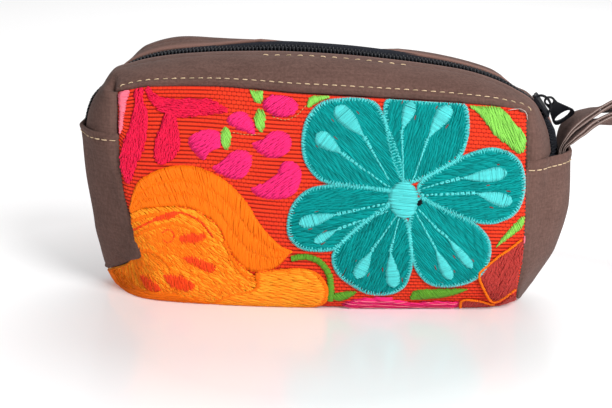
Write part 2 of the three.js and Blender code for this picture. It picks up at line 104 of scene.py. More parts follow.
# The zip ridge, row by row: the seam edge that the band's row starts from and how far along it,
# then x and z of the ridge, the lift of its back edge and the swell of the back band
RIDGE_ROWS = (
    ("left", 1, -96.8, 68.5, 0, 0),
    ("left", 0.66, -95.8, 74, 0, 0),
    ("left", 0.33, -93.5, 79.8, 0, 0),
    ("left", 0, -89.2, 85.6, 0, 0),
    ("top", 0.045, -83, 91, 0.4, 0.6),
    ("top", 0.09, -76, 94.6, 1.2, 4.6),
    ("top", 0.165, -64, 97.4, 2, 5.2),
    ("top", 0.26, -47, 99.4, 1.9, 3.6),
    ("top", 0.35, -30, 100.4, 2.3, 1.2),
    ("top", 0.44, -15, 100.8, 2.9, 0),
    ("top", 0.56, 8, 100.3, 2.7, 0),
    ("top", 0.65, 24, 99.3, 2.1, 0.7),
    ("top", 0.74, 40, 97.9, 1.2, 2),
    ("top", 0.835, 56, 95.8, 0.8, 2),
    ("top", 0.9, 67, 92.9, 0.5, 1.8),
    ("top", 0.955, 76.6, 88.8, 0.2, -0.4),
    ("right", 0, 84, 84.2, 0.6, 0),
    ("right", 0.33, 87.8, 78.2, 2.2, 0),
    ("right", 0.66, 90.5, 71.6, 2.7, 0),
    ("right", 1, 92, 64.3, 2.8, 0),
)
LAST_ROW = len(RIDGE_ROWS) - 1
# Row of the ridge and the zip's own further lift of its back edge there
ZIP_TURN = ((11, 12.5, 14.4, 15.6, 17, 18), (0, 1.1, 1.1, 0, 0, 1.8))
# Row of the ridge and how far the back band stands below it there, so that the zip shows over it
BACK_DROP = (
    (7, 7.6, 8.2, 8.8, 9.6, 10.4, 10.9, 11.3, 12.2, 13, 14.4, 15.4, 16.2, 17),
    (0, -0.6, -0.9, 0.3, 2.4, 2.2, 0.3, -0.8, -0.9, -0.6, -0.6, 1.3, 1.2, -0.2),
)
# Row of the ridge and how deep the tape's raised rear edge, behind the coil, lies below the ridge there
WELT_DEEP = ((6, 8, 10, 11.2, 12.2, 13, 15.4), (0.9, -0.4, -0.4, -0.7, 0, 0.8, 0.6))
# Row of the ridge and how far the zip stands out of the bands there, down the left end, and over what half
# breadth
ZIP_STAND = ((0, 1.8, 2.8), (1.8, 1.3, 0))
ZIP_STAND_HALF = 3.2

# Swell of the left and the right gusset out of the plane of its seam, at each seam key from the hem down
GUSSET_SWELL = ((18.8, 19.7), (18.2, 19), (20, 15), (15.4, 7.4), (4.4, 2.4), (0.8, 0.6))
# Where the full swell begins and ends between the front seam (-1) and the back seam (1)
GUSSET_FULL = {"left": (-0.28, 0.28), "right": (-0.06, 0.68)}
# Power of the curve from each seam to the full swell, and the seam key where the gusset ends
GUSSET_ROUND = 1.7
GUSSET_LAST_KEY = 5.6

# Middle line of the strap: x, z, roll in degrees and thickness. The lower run lies closer under the upper
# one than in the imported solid, as cloth does
STRAP_ROUTE = (
    (98.15, 57, 0, 1.3), (98.15, 64.4, 0, 1.4), (100.9, 68, -4, 2.2), (104.7, 71.3, -3, 2.8),
    (110.4, 74.3, 10, 3), (117.6, 76.3, 24, 3), (125, 77.5, 28, 2.8),
    (135.5, 73.4, 22, 2.4), (145.2, 63.5, 14, 2.2), (152, 48, 9, 2.2), (156.6, 33.5, 5, 2.2),
    (160.6, 21, 2, 2.2), (164.4, 11, 0, 2.2), (168.8, 4, 0, 2.2), (174.6, 1.2, 0, 2.2),
    (180.6, 3.6, 0, 2.2), (184.2, 10.5, 0, 2.2), (185, 21, 1, 2.2), (183.6, 34, 3, 2.2),
    (179.6, 49, 6, 2.2), (173, 62.5, 10, 2.2), (164, 74, 15, 2.2), (152, 82.2, 20, 2.3),
    (138, 85.8, 25, 2.4), (125, 84.2, 27, 2.7), (116.7, 81.2, 22, 2.8), (108.5, 78.2, 4, 2.8),
    (101.8, 74.2, -7, 2.6), (98.3, 69.6, -6, 1.9), (96.5, 64, 0, 1.3), (96.5, 57, 0, 1.3),
)

# Embroidery, charted on the cloth: x from the middle, then the way down the cloth from the top seam
FLOWER_CENTRE = (33.0, 39.0)
TEAL_PETALS = {
    "upper_left": (
        (32.5, 32), (23.5, 6.5), (20.5, 2), (14.5, 0.6), (8.5, 1), (0.5, 3), (-4.5, 8.5),
        (-6.5, 16.5), (-5.5, 25.5), (-1.5, 31.5), (2.5, 34), (14.5, 35), (28, 36),
    ),
    "top": (
        (32.5, 32), (24, 6.5), (25, 0.4), (40, 0.2), (54.5, 0.4), (56.5, 7.5), (56, 15),
        (53.5, 21.5), (40, 30.5),
    ),
    "right": (
        (38.5, 33), (47, 26.5), (55.5, 20.5), (65, 17), (72.5, 18), (78, 22.5), (80.5, 29.5),
        (80.3, 37), (77.5, 43), (71, 47), (62.5, 47.5), (52, 43.5), (39.5, 37.5),
    ),
    "lower_right": (
        (39.5, 38), (52, 43.5), (61.5, 48.5), (67, 55), (68, 62), (65.5, 70), (59.5, 75),
        (51.5, 77), (45, 75.5), (40, 70.5), (37.5, 64.5), (35.5, 47),
    ),
    "bottom": (
        (33, 45), (36, 52.5), (37.3, 65.5), (36.5, 71.5), (34, 77.5), (28, 81), (20.5, 80.5),
        (14.5, 77), (8.5, 71.5), (6.5, 64.5), (8.5, 60), (15.5, 52), (28, 41),
    ),
    "left": (
        (28, 36), (14.5, 35), (6, 35), (-3.5, 37.5), (-9, 43.5), (-11, 51.5), (-10, 57.5),
        (-5.5, 61.5), (1, 62.3), (7.5, 61), (15.5, 52), (28, 41),
    ),
}
# Stamens: head, where the drop ends, and where its thread line ends near the flower's middle; half width
STAMENS = (
    ((6, 4.5), (17, 15.5), (27, 32), 3.4),
    ((-1, 15.5), (9, 22.5), (27, 34.5), 3.2),
    ((34.5, 0.8), (31, 12), (32.5, 32), 2.6),
    ((49.5, 1.5), (41.5, 15), (36, 32), 2.8),
    ((73, 26.5), (54, 29.5), (40, 34.5), 2.9),
    ((75.5, 38.5), (60, 35), (39.5, 37), 2.9),
    ((60.5, 67.5), (51, 54), (38.5, 42), 1.9),
    ((53, 73), (47, 59), (37.5, 43.5), 2.1),
    ((16, 73), (21.5, 61), (30.5, 45.5), 2.6),
    ((30.3, 77), (28.5, 61), (31.5, 46), 2.8),
    ((-6.5, 51.3), (8, 46.5), (28, 40.5), 2.6),
    ((-0.5, 58.5), (8.5, 52.5), (27, 44), 1.8),
)
# Red flecks beside each stamen's drop: part of the way from its head, and half widths from its middle
FLECKS = ((0.12, 1.3), (0.4, -1.25))
FLOWER_BUTTON = (
    (27.3, 36), (30, 32.6), (35, 32.3), (38.3, 35.5), (38.5, 42), (36, 46), (30.5, 46), (27.3, 42),
)

PINK_PETALS = (
    ((-22, 6.4), (-20, 2.6), (-15.5, 1.3), (-11, 2), (-8.5, 5), (-10, 7.8), (-14, 9.8), (-18.5, 9.3)),
    (
        (-36, 13.2), (-33.5, 10.3), (-29.5, 8.8), (-26.5, 10.6), (-24.5, 14.4), (-24.5, 17.3),
        (-28.5, 16.8), (-33, 15.5),
    ),
    (
        (-51, 21.5), (-48.5, 18.5), (-43, 16.5), (-38.5, 17.5), (-38, 22.5), (-43, 25.5), (-45.5, 28.5),
        (-48.5, 26),
    ),
    (
        (-25.5, 21), (-21.5, 19), (-18.5, 16), (-15, 15), (-11.5, 16.5), (-10.5, 19.5), (-12, 23.5),
        (-17, 26), (-22, 25),
    ),
    (
        (-41.5, 31.5), (-37, 28.5), (-33.5, 25), (-29.5, 23.5), (-26, 24.5), (-25, 27.5), (-27, 32.5),
        (-31, 35.5), (-36.5, 34.5),
    ),
    (
        (-25.5, 39), (-21, 36.5), (-16.5, 33.5), (-14, 28), (-10.5, 26.5), (-7, 29), (-6.5, 33.5),
        (-8.5, 39), (-13.5, 42), (-20, 42.5), (-24, 41),
    ),
)
GREEN_LEAVES = (
    ((-27, 0.3), (-24.5, 0.3), (-22, 0.3), (-22, 4), (-23, 5.5), (-25.5, 3.5)),
    ((-23, 7), (-21, 9.5), (-21, 15), (-22, 16.5), (-24, 14.5), (-25, 10.5)),
    ((-36.5, 15), (-34, 17.5), (-34.5, 23.5), (-36, 24), (-38, 21), (-38, 17)),
    ((-4, 0.8), (3.5, 0.5), (-1, 3), (-5, 5.5), (-5.2, 3)),
    (
        (56.5, 1), (61.5, 0.6), (70, 1), (74.5, 6), (79.8, 12), (79.8, 18.5), (78, 19.5), (73.5, 16),
        (67, 11), (61, 4.5),
    ),
    ((81, 44.5), (81, 49), (76, 54), (70.5, 58.5), (73, 54), (77.5, 47.5)),
)
DARK_GREEN_LEAVES = (
    ((6.5, 82), (8.5, 80.5), (16, 80), (13.5, 83.5), (9, 85.5)),
    ((37.5, 84), (38.5, 79.5), (47, 78.4), (59.5, 78.5), (57, 80.5), (51.5, 83), (40.5, 84.5)),
)
GREEN_STEM = ((-9, 66), (-4, 65), (1, 66.5), (5, 71.5), (6, 77), (6, 85))

# Crimson leaves: points of the middle line, each with its half breadth
CRIMSON_LEAVES = (
    (
        (-71.3, 0.6, 1.2), (-71.3, 5.5, 1.4), (-70.8, 10.7, 2.7), (-70.9, 15.5, 3.3), (-72.2, 20.3, 4.1),
        (-73.6, 25, 3.9), (-75, 29.5, 3.7), (-76, 36.5, 2.4), (-75.5, 40.5, 0.6),
    ),
    (
        (-57.4, 9, 0.8), (-57.7, 11, 1.7), (-57.6, 15.5, 2.9), (-58.1, 19, 4.2), (-58.6, 22.5, 5),
        (-59.5, 25.5, 4.6), (-61, 28.5, 3.4), (-62, 31, 1.2),
    ),
    (
        (-68.5, 0.8, 1.2), (-64.5, 5.6, 2.0), (-57, 8.8, 3.3), (-49.5, 8.5, 3.4), (-41.6, 8.2, 2.4),
        (-35.4, 9.2, 0.5),
    ),
)
# Direction of each crimson leaf's stitches, in radians
CRIMSON_ANGLES = (1.7, 1.8, 0.1)
PALE_STRIP = (
    (-79.6, 0.8), (-75.5, 0.8), (-76.5, 5.5), (-77.3, 11), (-78.2, 19), (-79.3, 21.5), (-79.6, 10),
)

# Orange flower: the outer and inner edge of its arch, its heart, its right lobe and the short blobs
ARCH_OUTER = (
    (-74.5, 50), (-73.5, 44), (-70, 37.5), (-64, 34), (-56.5, 31.5), (-50, 31), (-44.5, 32.3),
    (-37, 35.5), (-31.5, 39.5), (-26.5, 45), (-22.5, 51.5), (-18, 57), (-13.5, 61), (-9.5, 62.5),
)
ARCH_INNER = (
    (-74.5, 53.5), (-68.5, 49.5), (-61, 48), (-53.5, 47.5), (-47.5, 48.5), (-42.5, 51.5), (-37.5, 56),
    (-35, 61.5), (-31.5, 66.5), (-27, 71), (-22.5, 72), (-17, 71), (-13.5, 68.5), (-10, 63.5),
)
FLOWER_HEART = (
    *ARCH_INNER[:9],
    (-26, 71.5), (-22.5, 76), (-22.5, 79.5), (-35, 86), (-42, 92.5), (-57, 97), (-70, 103), (-80, 108),
    (-90, 108), (-90, 95), (-87, 87), (-81.5, 81), (-78, 76), (-75.5, 70), (-74.5, 64), (-74.8, 58),
)
FLOWER_LOBE = (
    (-36.5, 84.5), (-23, 79), (-22.5, 72.5), (-13.5, 71), (-5, 70.2), (0.5, 72), (4, 76.5), (5, 82),
    (2.5, 88), (-4, 92), (-17, 94), (-30, 95), (-42, 94),
)
FLOWER_HEM = (
    (-89, 92.5), (-84.5, 90), (-80, 87.2), (-76, 85.2), (-70, 84.3), (-66, 84.2), (-61, 83.2),
    (-55, 83.6), (-48, 85.8), (-41, 89.5), (-44, 97), (-57, 102), (-70, 107.5), (-80, 111), (-89, 111),
)
HEART_BLOBS = (
    ((-66, 54), (-59.5, 50), (-54, 49.5), (-54.5, 51.7), (-62, 54.3)),
    ((-53, 59), (-50, 57.3), (-44, 57.3), (-43.5, 60), (-46, 62), (-52, 62.3)),
    ((-52, 68), (-48.5, 66.3), (-42, 68.5), (-40, 70.5), (-41, 73.8), (-46.5, 72)),
    ((-60.5, 75.5), (-55, 74.5), (-48.5, 77), (-47.5, 80), (-50, 82.5), (-56, 81.5)),
    ((-71.5, 79.5), (-68, 77.5), (-63, 80), (-61.5, 83), (-67, 85), (-69.5, 82.5)),
)
HEART_CORE = (
    (-66, 62), (-64, 57.5), (-58, 55), (-51, 55.5), (-45, 59), (-42, 65), (-44, 72), (-50, 73),
    (-54, 68), (-60, 68), (-65, 66),
)
HEART_FOLDS = (
    ((-74, 57.5), (-69.5, 54), (-64.5, 51.5), (-59.5, 50.5)),
    ((-72.5, 64.5), (-68, 59.5), (-62, 56), (-55.5, 54.5), (-49, 56), (-44, 60)),
    ((-70.5, 70), (-66, 68), (-61, 69.5), (-57, 73)),
    ((-36, 60), (-33.5, 65.5), (-30, 71), (-26, 75)),
)
HEART_LINES = (
    ((-73.5, 62), (-68.5, 57), (-63.5, 53.3), (-56, 50), (-50, 50.5), (-45, 53.5), (-41, 58.5)),
    ((-60.5, 58.5), (-57.5, 57), (-55.5, 58.5), (-56, 61), (-58.5, 62.5), (-60.5, 61.5)),
)

MAROON_PETALS = (
    ((81, 55), (80.5, 73), (80, 81), (72, 86), (66, 77), (64, 71), (67.5, 66.5), (74.5, 60.5)),
    ((58, 91), (58.5, 85), (65, 85.5), (72.5, 90), (80, 84), (80, 93), (70, 97), (60, 97)),
)
MAROON_EDGES = (
    ((80.7, 55), (74.5, 60.5), (67.5, 66.5), (64, 71), (66, 77.5), (72, 86.5), (76, 84), (80, 80.5)),
    ((57.5, 92), (58, 84.5), (65, 85), (72, 88.5)),
)
PINK_STRIP = (
    (10.5, 88), (16, 84), (27.5, 83.5), (39, 86), (56.5, 86), (57, 91), (48, 93), (30, 94), (14, 93),
)
TAN_LINES = (
    ((-33, 17), (-28.5, 17.7), (-22, 17)),
    ((-18, 10), (-12.5, 10.5), (-9, 8.5), (-6.5, 5.5), (-3, 1.5)),
)
SNAG_HOLE = ((38.2, 39.6), (39, 39), (40, 39.2), (40.6, 40.1), (40, 41), (39, 41.1), (38.2, 40.6))
LOOSE_END = ((82, 53), (82, 54.7), (82, 56.5))
FRAYED_EDGE = ((72.5, 1.6), (75, 0.9), (77.5, 0.8), (79.3, 1.6), (80.2, 3.4), (80.5, 5))


# Curves and directions

def along(points, place):
    """Smooth place on a row of points; place counts rows from 0. One row, or one row for each place."""
    points = np.asarray(points, float)
    last = points.shape[-2] - 1
    place = np.clip(np.asarray(place, float), 0, last)
    before = 2 * points[..., :1, :] - points[..., 1:2, :]
    after = 2 * points[..., -1:, :] - points[..., -2:-1, :]
    padded = np.concatenate([before, points, after], axis=-2)
    start = np.minimum(place.astype(int), last - 1)
    t = (place - start)[..., None]
    if points.ndim == 2:
        a, b, c, d = (padded[start + k] for k in range(4))
    else:
        rows = np.arange(len(place))
        a, b, c, d = (padded[rows, start + k] for k in range(4))
    gaps = [np.sum((q - p) ** 2, -1, keepdims=True) ** 0.25 for p, q in ((a, b), (b, c), (c, d))]
    middle = np.where(gaps[1] < 1e-4, 1.0, gaps[1])
    first = np.where(gaps[0] < 1e-4, middle, gaps[0])
    third = np.where(gaps[2] < 1e-4, middle, gaps[2])
    m = ((b - a) / first - (c - a) / (first + middle) + (c - b) / middle) * middle
    n = ((c - b) / middle - (d - b) / (middle + third) + (d - c) / third) * middle
    return b + m * t + (3 * (c - b) - 2 * m - n) * t ** 2 + (2 * (b - c) + m + n) * t ** 3


def unit(vectors):
    return vectors / np.maximum(np.linalg.norm(vectors, axis=-1, keepdims=True), 1e-12)


def lengths_along(points):
    """Distance from the first point to each point of a row."""
    steps = np.linalg.norm(np.diff(points, axis=0), axis=1)
    return np.concatenate([[0.0], np.cumsum(steps)])


def at_lengths(at, far, points):
    """Places at given distances on a row of points; far holds the distance of each point."""
    return np.stack([np.interp(at, far, points[:, k]) for k in range(points.shape[1])], -1)


def evenly(points, count):
    """count points at even distances on a row of points."""
    far = lengths_along(points)
    return at_lengths(np.linspace(0, far[-1], count), far, points)


def open_curve(points, pitch):
    points = np.asarray(points, float)
    dense = along(points, np.linspace(0, len(points) - 1, 24 * len(points)))
    return evenly(dense, max(3, int(round(lengths_along(dense)[-1] / pitch)) + 1))


def closed_curve(points, pitch):
    points = np.asarray(points, float)
    ring = np.vstack([points[-2:], points, points[:3]])
    dense = along(ring, np.linspace(2, 2 + len(points), 24 * len(points)))
    return evenly(dense, max(8, int(round(lengths_along(dense)[-1] / pitch)) + 1))[:-1]


def ramp(value, reach):
    """0 up to zero, then evenly up to 1 at the reach."""
    return np.clip(value / reach, 0, 1)


def smooth_step(value, reach):
    """A ramp that starts and ends softly."""
    t = ramp(value, reach)
    return t * t * (3 - 2 * t)


def bell(value, reach):
    """1 at zero, falling softly to almost nothing two reaches away on either side."""
    return np.exp(-(value / reach) ** 2)


def inward(points):
    return unit(np.clip(points, CORE_LOW, CORE_HIGH) - points)


def soft_wave(points, size):
    """Slow, seedless unevenness between about -1 and 1, with waves of about that size."""
    x, y, z = (points[..., k] / size for k in range(3))
    return (np.sin(2.1 * x + 1.3 * z) + np.sin(1.7 * z - 2.3 * y + 1) + np.sin(2.9 * y + 1.9 * x + 2)) / 3


# The sewn shell

def whole_loop(x, depths, heights):
    """A loop round the pouch from its front half; the back half mirrors it."""
    front = np.stack([x, -np.array(depths, float), np.array(heights, float)], 1)
    return np.vstack([front, front[:-1][::-1] * np.array([1.0, -1.0, 1.0])])


KEYS = np.array(SEAM_KEYS)
SEAMS = {
    "left": whole_loop(KEYS[:, 1], KEYS[:, 0], KEYS[:, 2]),
    "right": whole_loop(KEYS[:, 3], KEYS[:, 0], KEYS[:, 4]),
}
FULL_GIRTH = 2 * (len(SEAM_KEYS) - 1)


def station_girth(across, depths, heights):
    return whole_loop(KEYS[:, 1] + (KEYS[:, 3] - KEYS[:, 1]) * across, depths, heights)


GIRTHS = [SEAMS["left"], *(station_girth(*row) for row in PANEL_STATIONS), SEAMS["right"]]
STATIONS = np.array([0.0, *(row[0] for row in PANEL_STATIONS), 1.0])


def settled(points):
    """Lets the back's upper right corner sink, and the front's top edge rise near its left end."""
    x, y, z = (points[..., k] for k in range(3))
    sink = BACK_SINK * smooth_step(x - 50, 24) * smooth_step(y - 4, 14) * smooth_step(z - 50, 32)
    rise = smooth_step(x + 79, 10) * smooth_step(-x - 5, 40) * smooth_step(-y - 10, 8)
    rise = FRONT_RISE * rise * smooth_step(z - 60, 26)
    return points + (rise - sink)[..., None] * np.array([0.0, 0.0, 1.0])


def panel_point(girth, across):
    """The panel's outer skin; girth runs 0 (front top seam) to 12 (back top seam), across 0 to 1."""
    girth, across = np.broadcast_arrays(np.asarray(girth, float), np.asarray(across, float))
    g, u = girth.ravel(), np.clip(across.ravel(), 0, 1)
    span = np.clip(np.searchsorted(STATIONS, u, side="right") - 1, 0, len(STATIONS) - 2)
    place = span + (u - STATIONS[span]) / (STATIONS[span + 1] - STATIONS[span])
    points = along(np.stack([along(row, g) for row in GIRTHS], 1), place)
    points[:, 2] = np.maximum(points[:, 2], 0)
    return settled(points).reshape(girth.shape + (3,))


GIRTH_STEPS = np.linspace(0, FULL_GIRTH, 2401)
GIRTH_LENGTHS = lengths_along(panel_point(GIRTH_STEPS, 0.5))
CLOTH_LENGTH = GIRTH_LENGTHS[-1]


def girth_at(down):
    return np.interp(down, GIRTH_LENGTHS, GIRTH_STEPS)


def seam_ends(girth):
    """x of the panel's left and right seam."""
    return (along(SEAMS[side], girth)[..., 0] for side in ("left", "right"))


def cloth_point(x, down):
    """A chart place on the panel: x from the middle, then the way down the cloth from the top seam."""
    girth = girth_at(down)
    left, right = seam_ends(girth)
    return panel_point(girth, (x - left) / (right - left))


def cloth_frame(x, down):
    """Points of the panel and its outward directions at chart places."""
    reach = 0.12
    left, right = seam_ends(girth_at(down))
    x = np.clip(x, left + 2 * reach, right - 2 * reach)
    down = np.clip(down, 2 * reach, CLOTH_LENGTH - 2 * reach)
    over = cloth_point(x + reach, down) - cloth_point(x - reach, down)
    below = cloth_point(x, down + reach) - cloth_point(x, down - reach)
    return cloth_point(x, down), unit(np.cross(below, over))


def seam_row(edge, at, sign):
    if edge == "top":
        return panel_point(0 if sign < 0 else FULL_GIRTH, at)
    return settled(along(SEAMS[edge], np.array(at if sign < 0 else FULL_GIRTH - at)))


MIDDLE_PLANE = np.array([1.0, 0.0, 1.0])
RIDGE = np.array([(row[2], 0.0, row[3]) for row in RIDGE_ROWS])
RIDGE_TILT = np.array([(row[4], 0.0) for row in RIDGE_ROWS])
RIDGE_CREST = np.array([(row[5], 0.0) for row in RIDGE_ROWS])


def ridge_point(place, y, turned_zip=False):
    """The ridge at places along the zip and distances y across it; past either hem it runs straight down.

    The zip itself twists a little further to the front than the bands beside it.
    """
    place, y = np.broadcast_arrays(np.asarray(place, float), np.asarray(y, float))
    shape = place.shape
    place, y = place.ravel(), y.ravel()
    inside = np.clip(place, 0, LAST_ROW)
    points = along(RIDGE, inside)
    points[:, 2] -= np.abs(place - inside)
    rise = along(RIDGE_TILT, inside)[:, 0]
    if turned_zip:
        rise = rise + np.interp(inside, *ZIP_TURN)
    rise = rise * np.clip(y / (2 * ZIP_HALF_GAP) + 0.5, 0, 1)
    if turned_zip:
        rise = rise + np.interp(inside, *ZIP_STAND) * bell(y, ZIP_STAND_HALF)
    points -= inward(points) * rise[:, None]
    points[:, 1] = y
    return points.reshape(shape + (3,))


def ribbon(places, across, depths):
    """A strip along the ridge: how far out each column lies and how deep below the ridge at each place."""
    points = ridge_point(places[:, None], across[None, :], turned_zip=True)
    return points + inward(points * MIDDLE_PLANE) * depths[..., None]


def band_skin(sign, places, turns):
    """Quarter-round skin from the panel's seam up to the zip, on the front (-1) or the back (1)."""
    seam = np.array([np.ravel(seam_row(row[0], row[1], sign)) for row in RIDGE_ROWS])
    start = along(seam, places)[:, None, :]
    ridge = ridge_point(places, np.full(len(places), sign * ZIP_HALF_GAP))[:, None, :]
    crest = along(RIDGE_CREST, places)[:, :1] if sign > 0 else np.zeros((len(places), 1))
    angle = np.asarray(turns)[None, :] * math.pi / 2
    sine, cosine = np.sin(angle), np.cos(angle)
    x = start[..., 0] + (ridge[..., 0] - start[..., 0]) * sine
    y = ridge[..., 1] + (start[..., 1] - ridge[..., 1]) * cosine
    z = start[..., 2] + (ridge[..., 2] - start[..., 2]) * sine + crest * np.sin(2 * angle)
    return np.stack([x, y, z], -1)


def gusset_skin(side, keys, ways):
    """Rows from the hem down, each from the front seam (way -1) to the back seam (way 1)."""
    column, sign = (0, -1) if side == "left" else (1, 1)
    front = along(SEAMS[side], keys)[:, None, :]
    back = along(SEAMS[side], FULL_GIRTH - keys)[:, None, :]
    swell = along(np.array(GUSSET_SWELL, float), keys - 1)[:, column][:, None]
    points = front + (back - front) * ((ways + 1) / 2)[None, :, None]
    begin, end = GUSSET_FULL[side]
    short = np.where(ways < begin, (begin - ways) / (begin + 1), (ways - end) / (1 - end))
    points[..., 0] += sign * swell * (1 - np.maximum(short, 0) ** GUSSET_ROUND)[None, :]
    return settled(points)


ROUTE_STEPS = 3101


def strap_lines(count):
    """Even stations on the strap: middle points, outward face, breadth direction and thickness."""
    route = np.array([(row[0], 0.0, row[1]) for row in STRAP_ROUTE])
    turn = np.array([row[2:] for row in STRAP_ROUTE], float)
    places = np.linspace(0, len(route) - 1, ROUTE_STEPS)
    far = lengths_along(along(route, places))
    at = np.interp(np.linspace(0, far[-1], count), far, places)
    points = along(route, at)
    tangent = unit(along(route, at + 0.01) - along(route, at - 0.01))
    normal = np.stack([tangent[:, 2], np.zeros(count), -tangent[:, 0]], 1)
    turned = along(turn, at)
    roll = np.radians(turned[:, :1])
    up = np.where(normal[:, 2:] < 0, -1.0, 1.0)
    side = np.array([[0.0, 1.0, 0.0]])
    breadth = side * np.cos(roll) - normal * up * np.sin(roll)
    face = side * up * np.sin(roll) + normal * np.cos(roll)
    points[:, 1] += STRAP_MIDDLE_Y
    return points, face, breadth, turned[:, 1]


# Meshes

def make_piece(name, points, faces, material, replaces=(), marks=None):
    """A mesh object in metres from millimetre points; faces is a list of arrays with equal rows."""
    mesh = bpy.data.meshes.new(name)
    points = np.asarray(points, np.float32).reshape(-1, 3) * MM
    mesh.vertices.add(len(points))
    mesh.vertices.foreach_set("co", points.ravel())
    corners = np.concatenate([np.asarray(f, np.int32).ravel() for f in faces])
    totals = np.concatenate([np.full(len(f), np.shape(f)[1], np.int32) for f in faces])
    starts = np.concatenate([[0], np.cumsum(totals)[:-1]]).astype(np.int32)
    mesh.loops.add(len(corners))
    mesh.loops.foreach_set("vertex_index", corners)
    mesh.polygons.add(len(totals))
    mesh.polygons.foreach_set("loop_start", starts)
    mesh.polygons.foreach_set("loop_total", totals)
    mesh.update(calc_edges=True)
    mesh.polygons.foreach_set("use_smooth", np.ones(len(totals), bool))
    for mark, values in (marks or {}).items():
        values = np.asarray(values, np.float32)
        kind = "FLOAT_VECTOR" if values.ndim == 2 else "FLOAT"
        layer = mesh.attributes.new(mark, kind, "POINT")
        layer.data.foreach_set("vector" if values.ndim == 2 else "value", values.ravel())
    mesh.materials.append(material)
    piece = bpy.data.objects.new(name, mesh)
    bpy.context.scene.collection.objects.link(piece)
    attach(piece, BAG)
    if replaces:
        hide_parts(*replaces)


def wall_faces(rows, columns):
    """Quads of a closed wall: an outer grid, an inner grid after it, and the four rims."""
    shift = rows * columns
    down = np.arange(rows - 1) * columns
    right = down + columns - 1
    top = np.arange(columns - 1)
    low = top + (rows - 1) * columns
    first = (down[:, None] + top[None, :]).ravel()
    outer = np.stack([first, first + 1, first + columns + 1, first + columns], 1)
    edges = ((down, down + columns), (right + columns, right), (top + 1, top), (low, low + 1))
    rims = [np.stack([a, b, shift + b, shift + a], 1) for a, b in edges]
    return np.vstack([outer, outer[:, ::-1] + shift, *rims])


def outward_faces(points, faces):
    """Turns all faces round if the closed mesh is inside out."""
    volume = 0.0
    for rows in faces:
        corner = points[rows[:, 0]]
        for k in range(1, rows.shape[1] - 1):
            volume += np.einsum("ij,ij->", corner, np.cross(points[rows[:, k]], points[rows[:, k + 1]]))
    return faces if volume > 0 else [rows[:, ::-1] for rows in faces]


def grid_normals(grid):
    """Directions out of a grid of points, away from the inner block."""
    across = np.gradient(grid, axis=1)
    down = np.gradient(grid, axis=0)
    normals = unit(np.cross(across, down))
    facing = np.sum(normals * inward(grid), -1, keepdims=True)
    return np.where(facing > 0, -normals, normals)


def ring_quads(rows, ring):
    """Quads between closed rings that follow one another, each of so many points."""
    first = np.arange(rows - 1)[:, None] * ring
    here = first + np.arange(ring)[None, :]
    ahead = first + (np.arange(ring)[None, :] + 1) % ring
    return np.stack([here, ahead, ahead + ring, here + ring], -1).reshape(-1, 4)


def rounded_wall(outer, thick):
    """Points and faces of a wall whose first and last columns are turned over in a half round."""
    rows, columns = outer.shape[:2]
    inner = outer + inward(outer) * thick
    angles = np.radians([45, 90, 135])

    def turned_edge(out, into, before):
        middle, radius = (out + into) / 2, (out - into) / 2
        ahead = unit(out - before) * np.linalg.norm(radius, axis=-1, keepdims=True)
        return np.stack([middle + radius * math.cos(a) + ahead * math.sin(a) for a in angles], 1)

    end = turned_edge(outer[:, -1], inner[:, -1], outer[:, -2])
    begin = turned_edge(inner[:, 0], outer[:, 0], outer[:, 1] + inner[:, 0] - outer[:, 0])
    loops = np.concatenate([outer, end, inner[:, ::-1], begin], 1)
    ring = loops.shape[1]
    j = np.arange(columns - 1)
    inside = columns + 3 + (columns - 1 - j)
    close = np.stack([j, inside, inside - 1, j + 1], 1)
    tip = np.array([[columns - 1, columns + 3, columns + 2, columns + 1, columns]])
    root = np.array([[0, ring - 1, ring - 2, ring - 3, 2 * columns + 2]])
    last = (rows - 1) * ring
    points = loops.reshape(-1, 3)
    faces = [
        np.vstack([ring_quads(rows, ring), close, close[:, ::-1] + last]),
        np.vstack([tip, root, tip[:, ::-1] + last, root[:, ::-1] + last]),
    ]
    return points, outward_faces(points, faces)


def tube_mesh(paths, sides_out, radii, ring):
    """Closed tubes: paths (n, k, 3), an upward direction for each point, and half width and half height."""
    count, steps = paths.shape[:2]
    tangent = unit(np.gradient(paths, axis=1))
    right = unit(np.cross(tangent, sides_out))
    up = np.cross(right, tangent)
    angles = np.arange(ring) * 2 * math.pi / ring
    wide, high = radii[..., 0, None, None], radii[..., 1, None, None]
    cosine, sine = np.cos(angles)[None, None, :, None], np.sin(angles)[None, None, :, None]
    points = paths[:, :, None] + right[:, :, None] * cosine * wide + up[:, :, None] * sine * high
    base = (np.arange(count)[:, None, None] * steps + np.arange(steps - 1)[None, :, None]) * ring
    s = np.arange(ring)[None, None, :]
    t = (s + 1) % ring
    quads = np.stack([base + s, base + ring + s, base + ring + t, base + t], -1).reshape(-1, 4)
    first = np.arange(count)[:, None] * steps * ring + np.arange(ring)[None, :]
    last = first[:, ::-1] + (steps - 1) * ring
    return points.reshape(-1, 3), [quads, np.vstack([first, last])]


# Stitches on the cloth

# Width and height of a thread as it lies on the cloth
FLOSS_WIDTH = 0.6
FLOSS_HEIGHT = 0.36
# Nearer than this to a top seam threads lie lower, down to the least part of their lift; and the part of
# their width that is left at their ends
SEAM_EASE = 3
LEAST_LIFT = 0.15
THREAD_END = 0.6


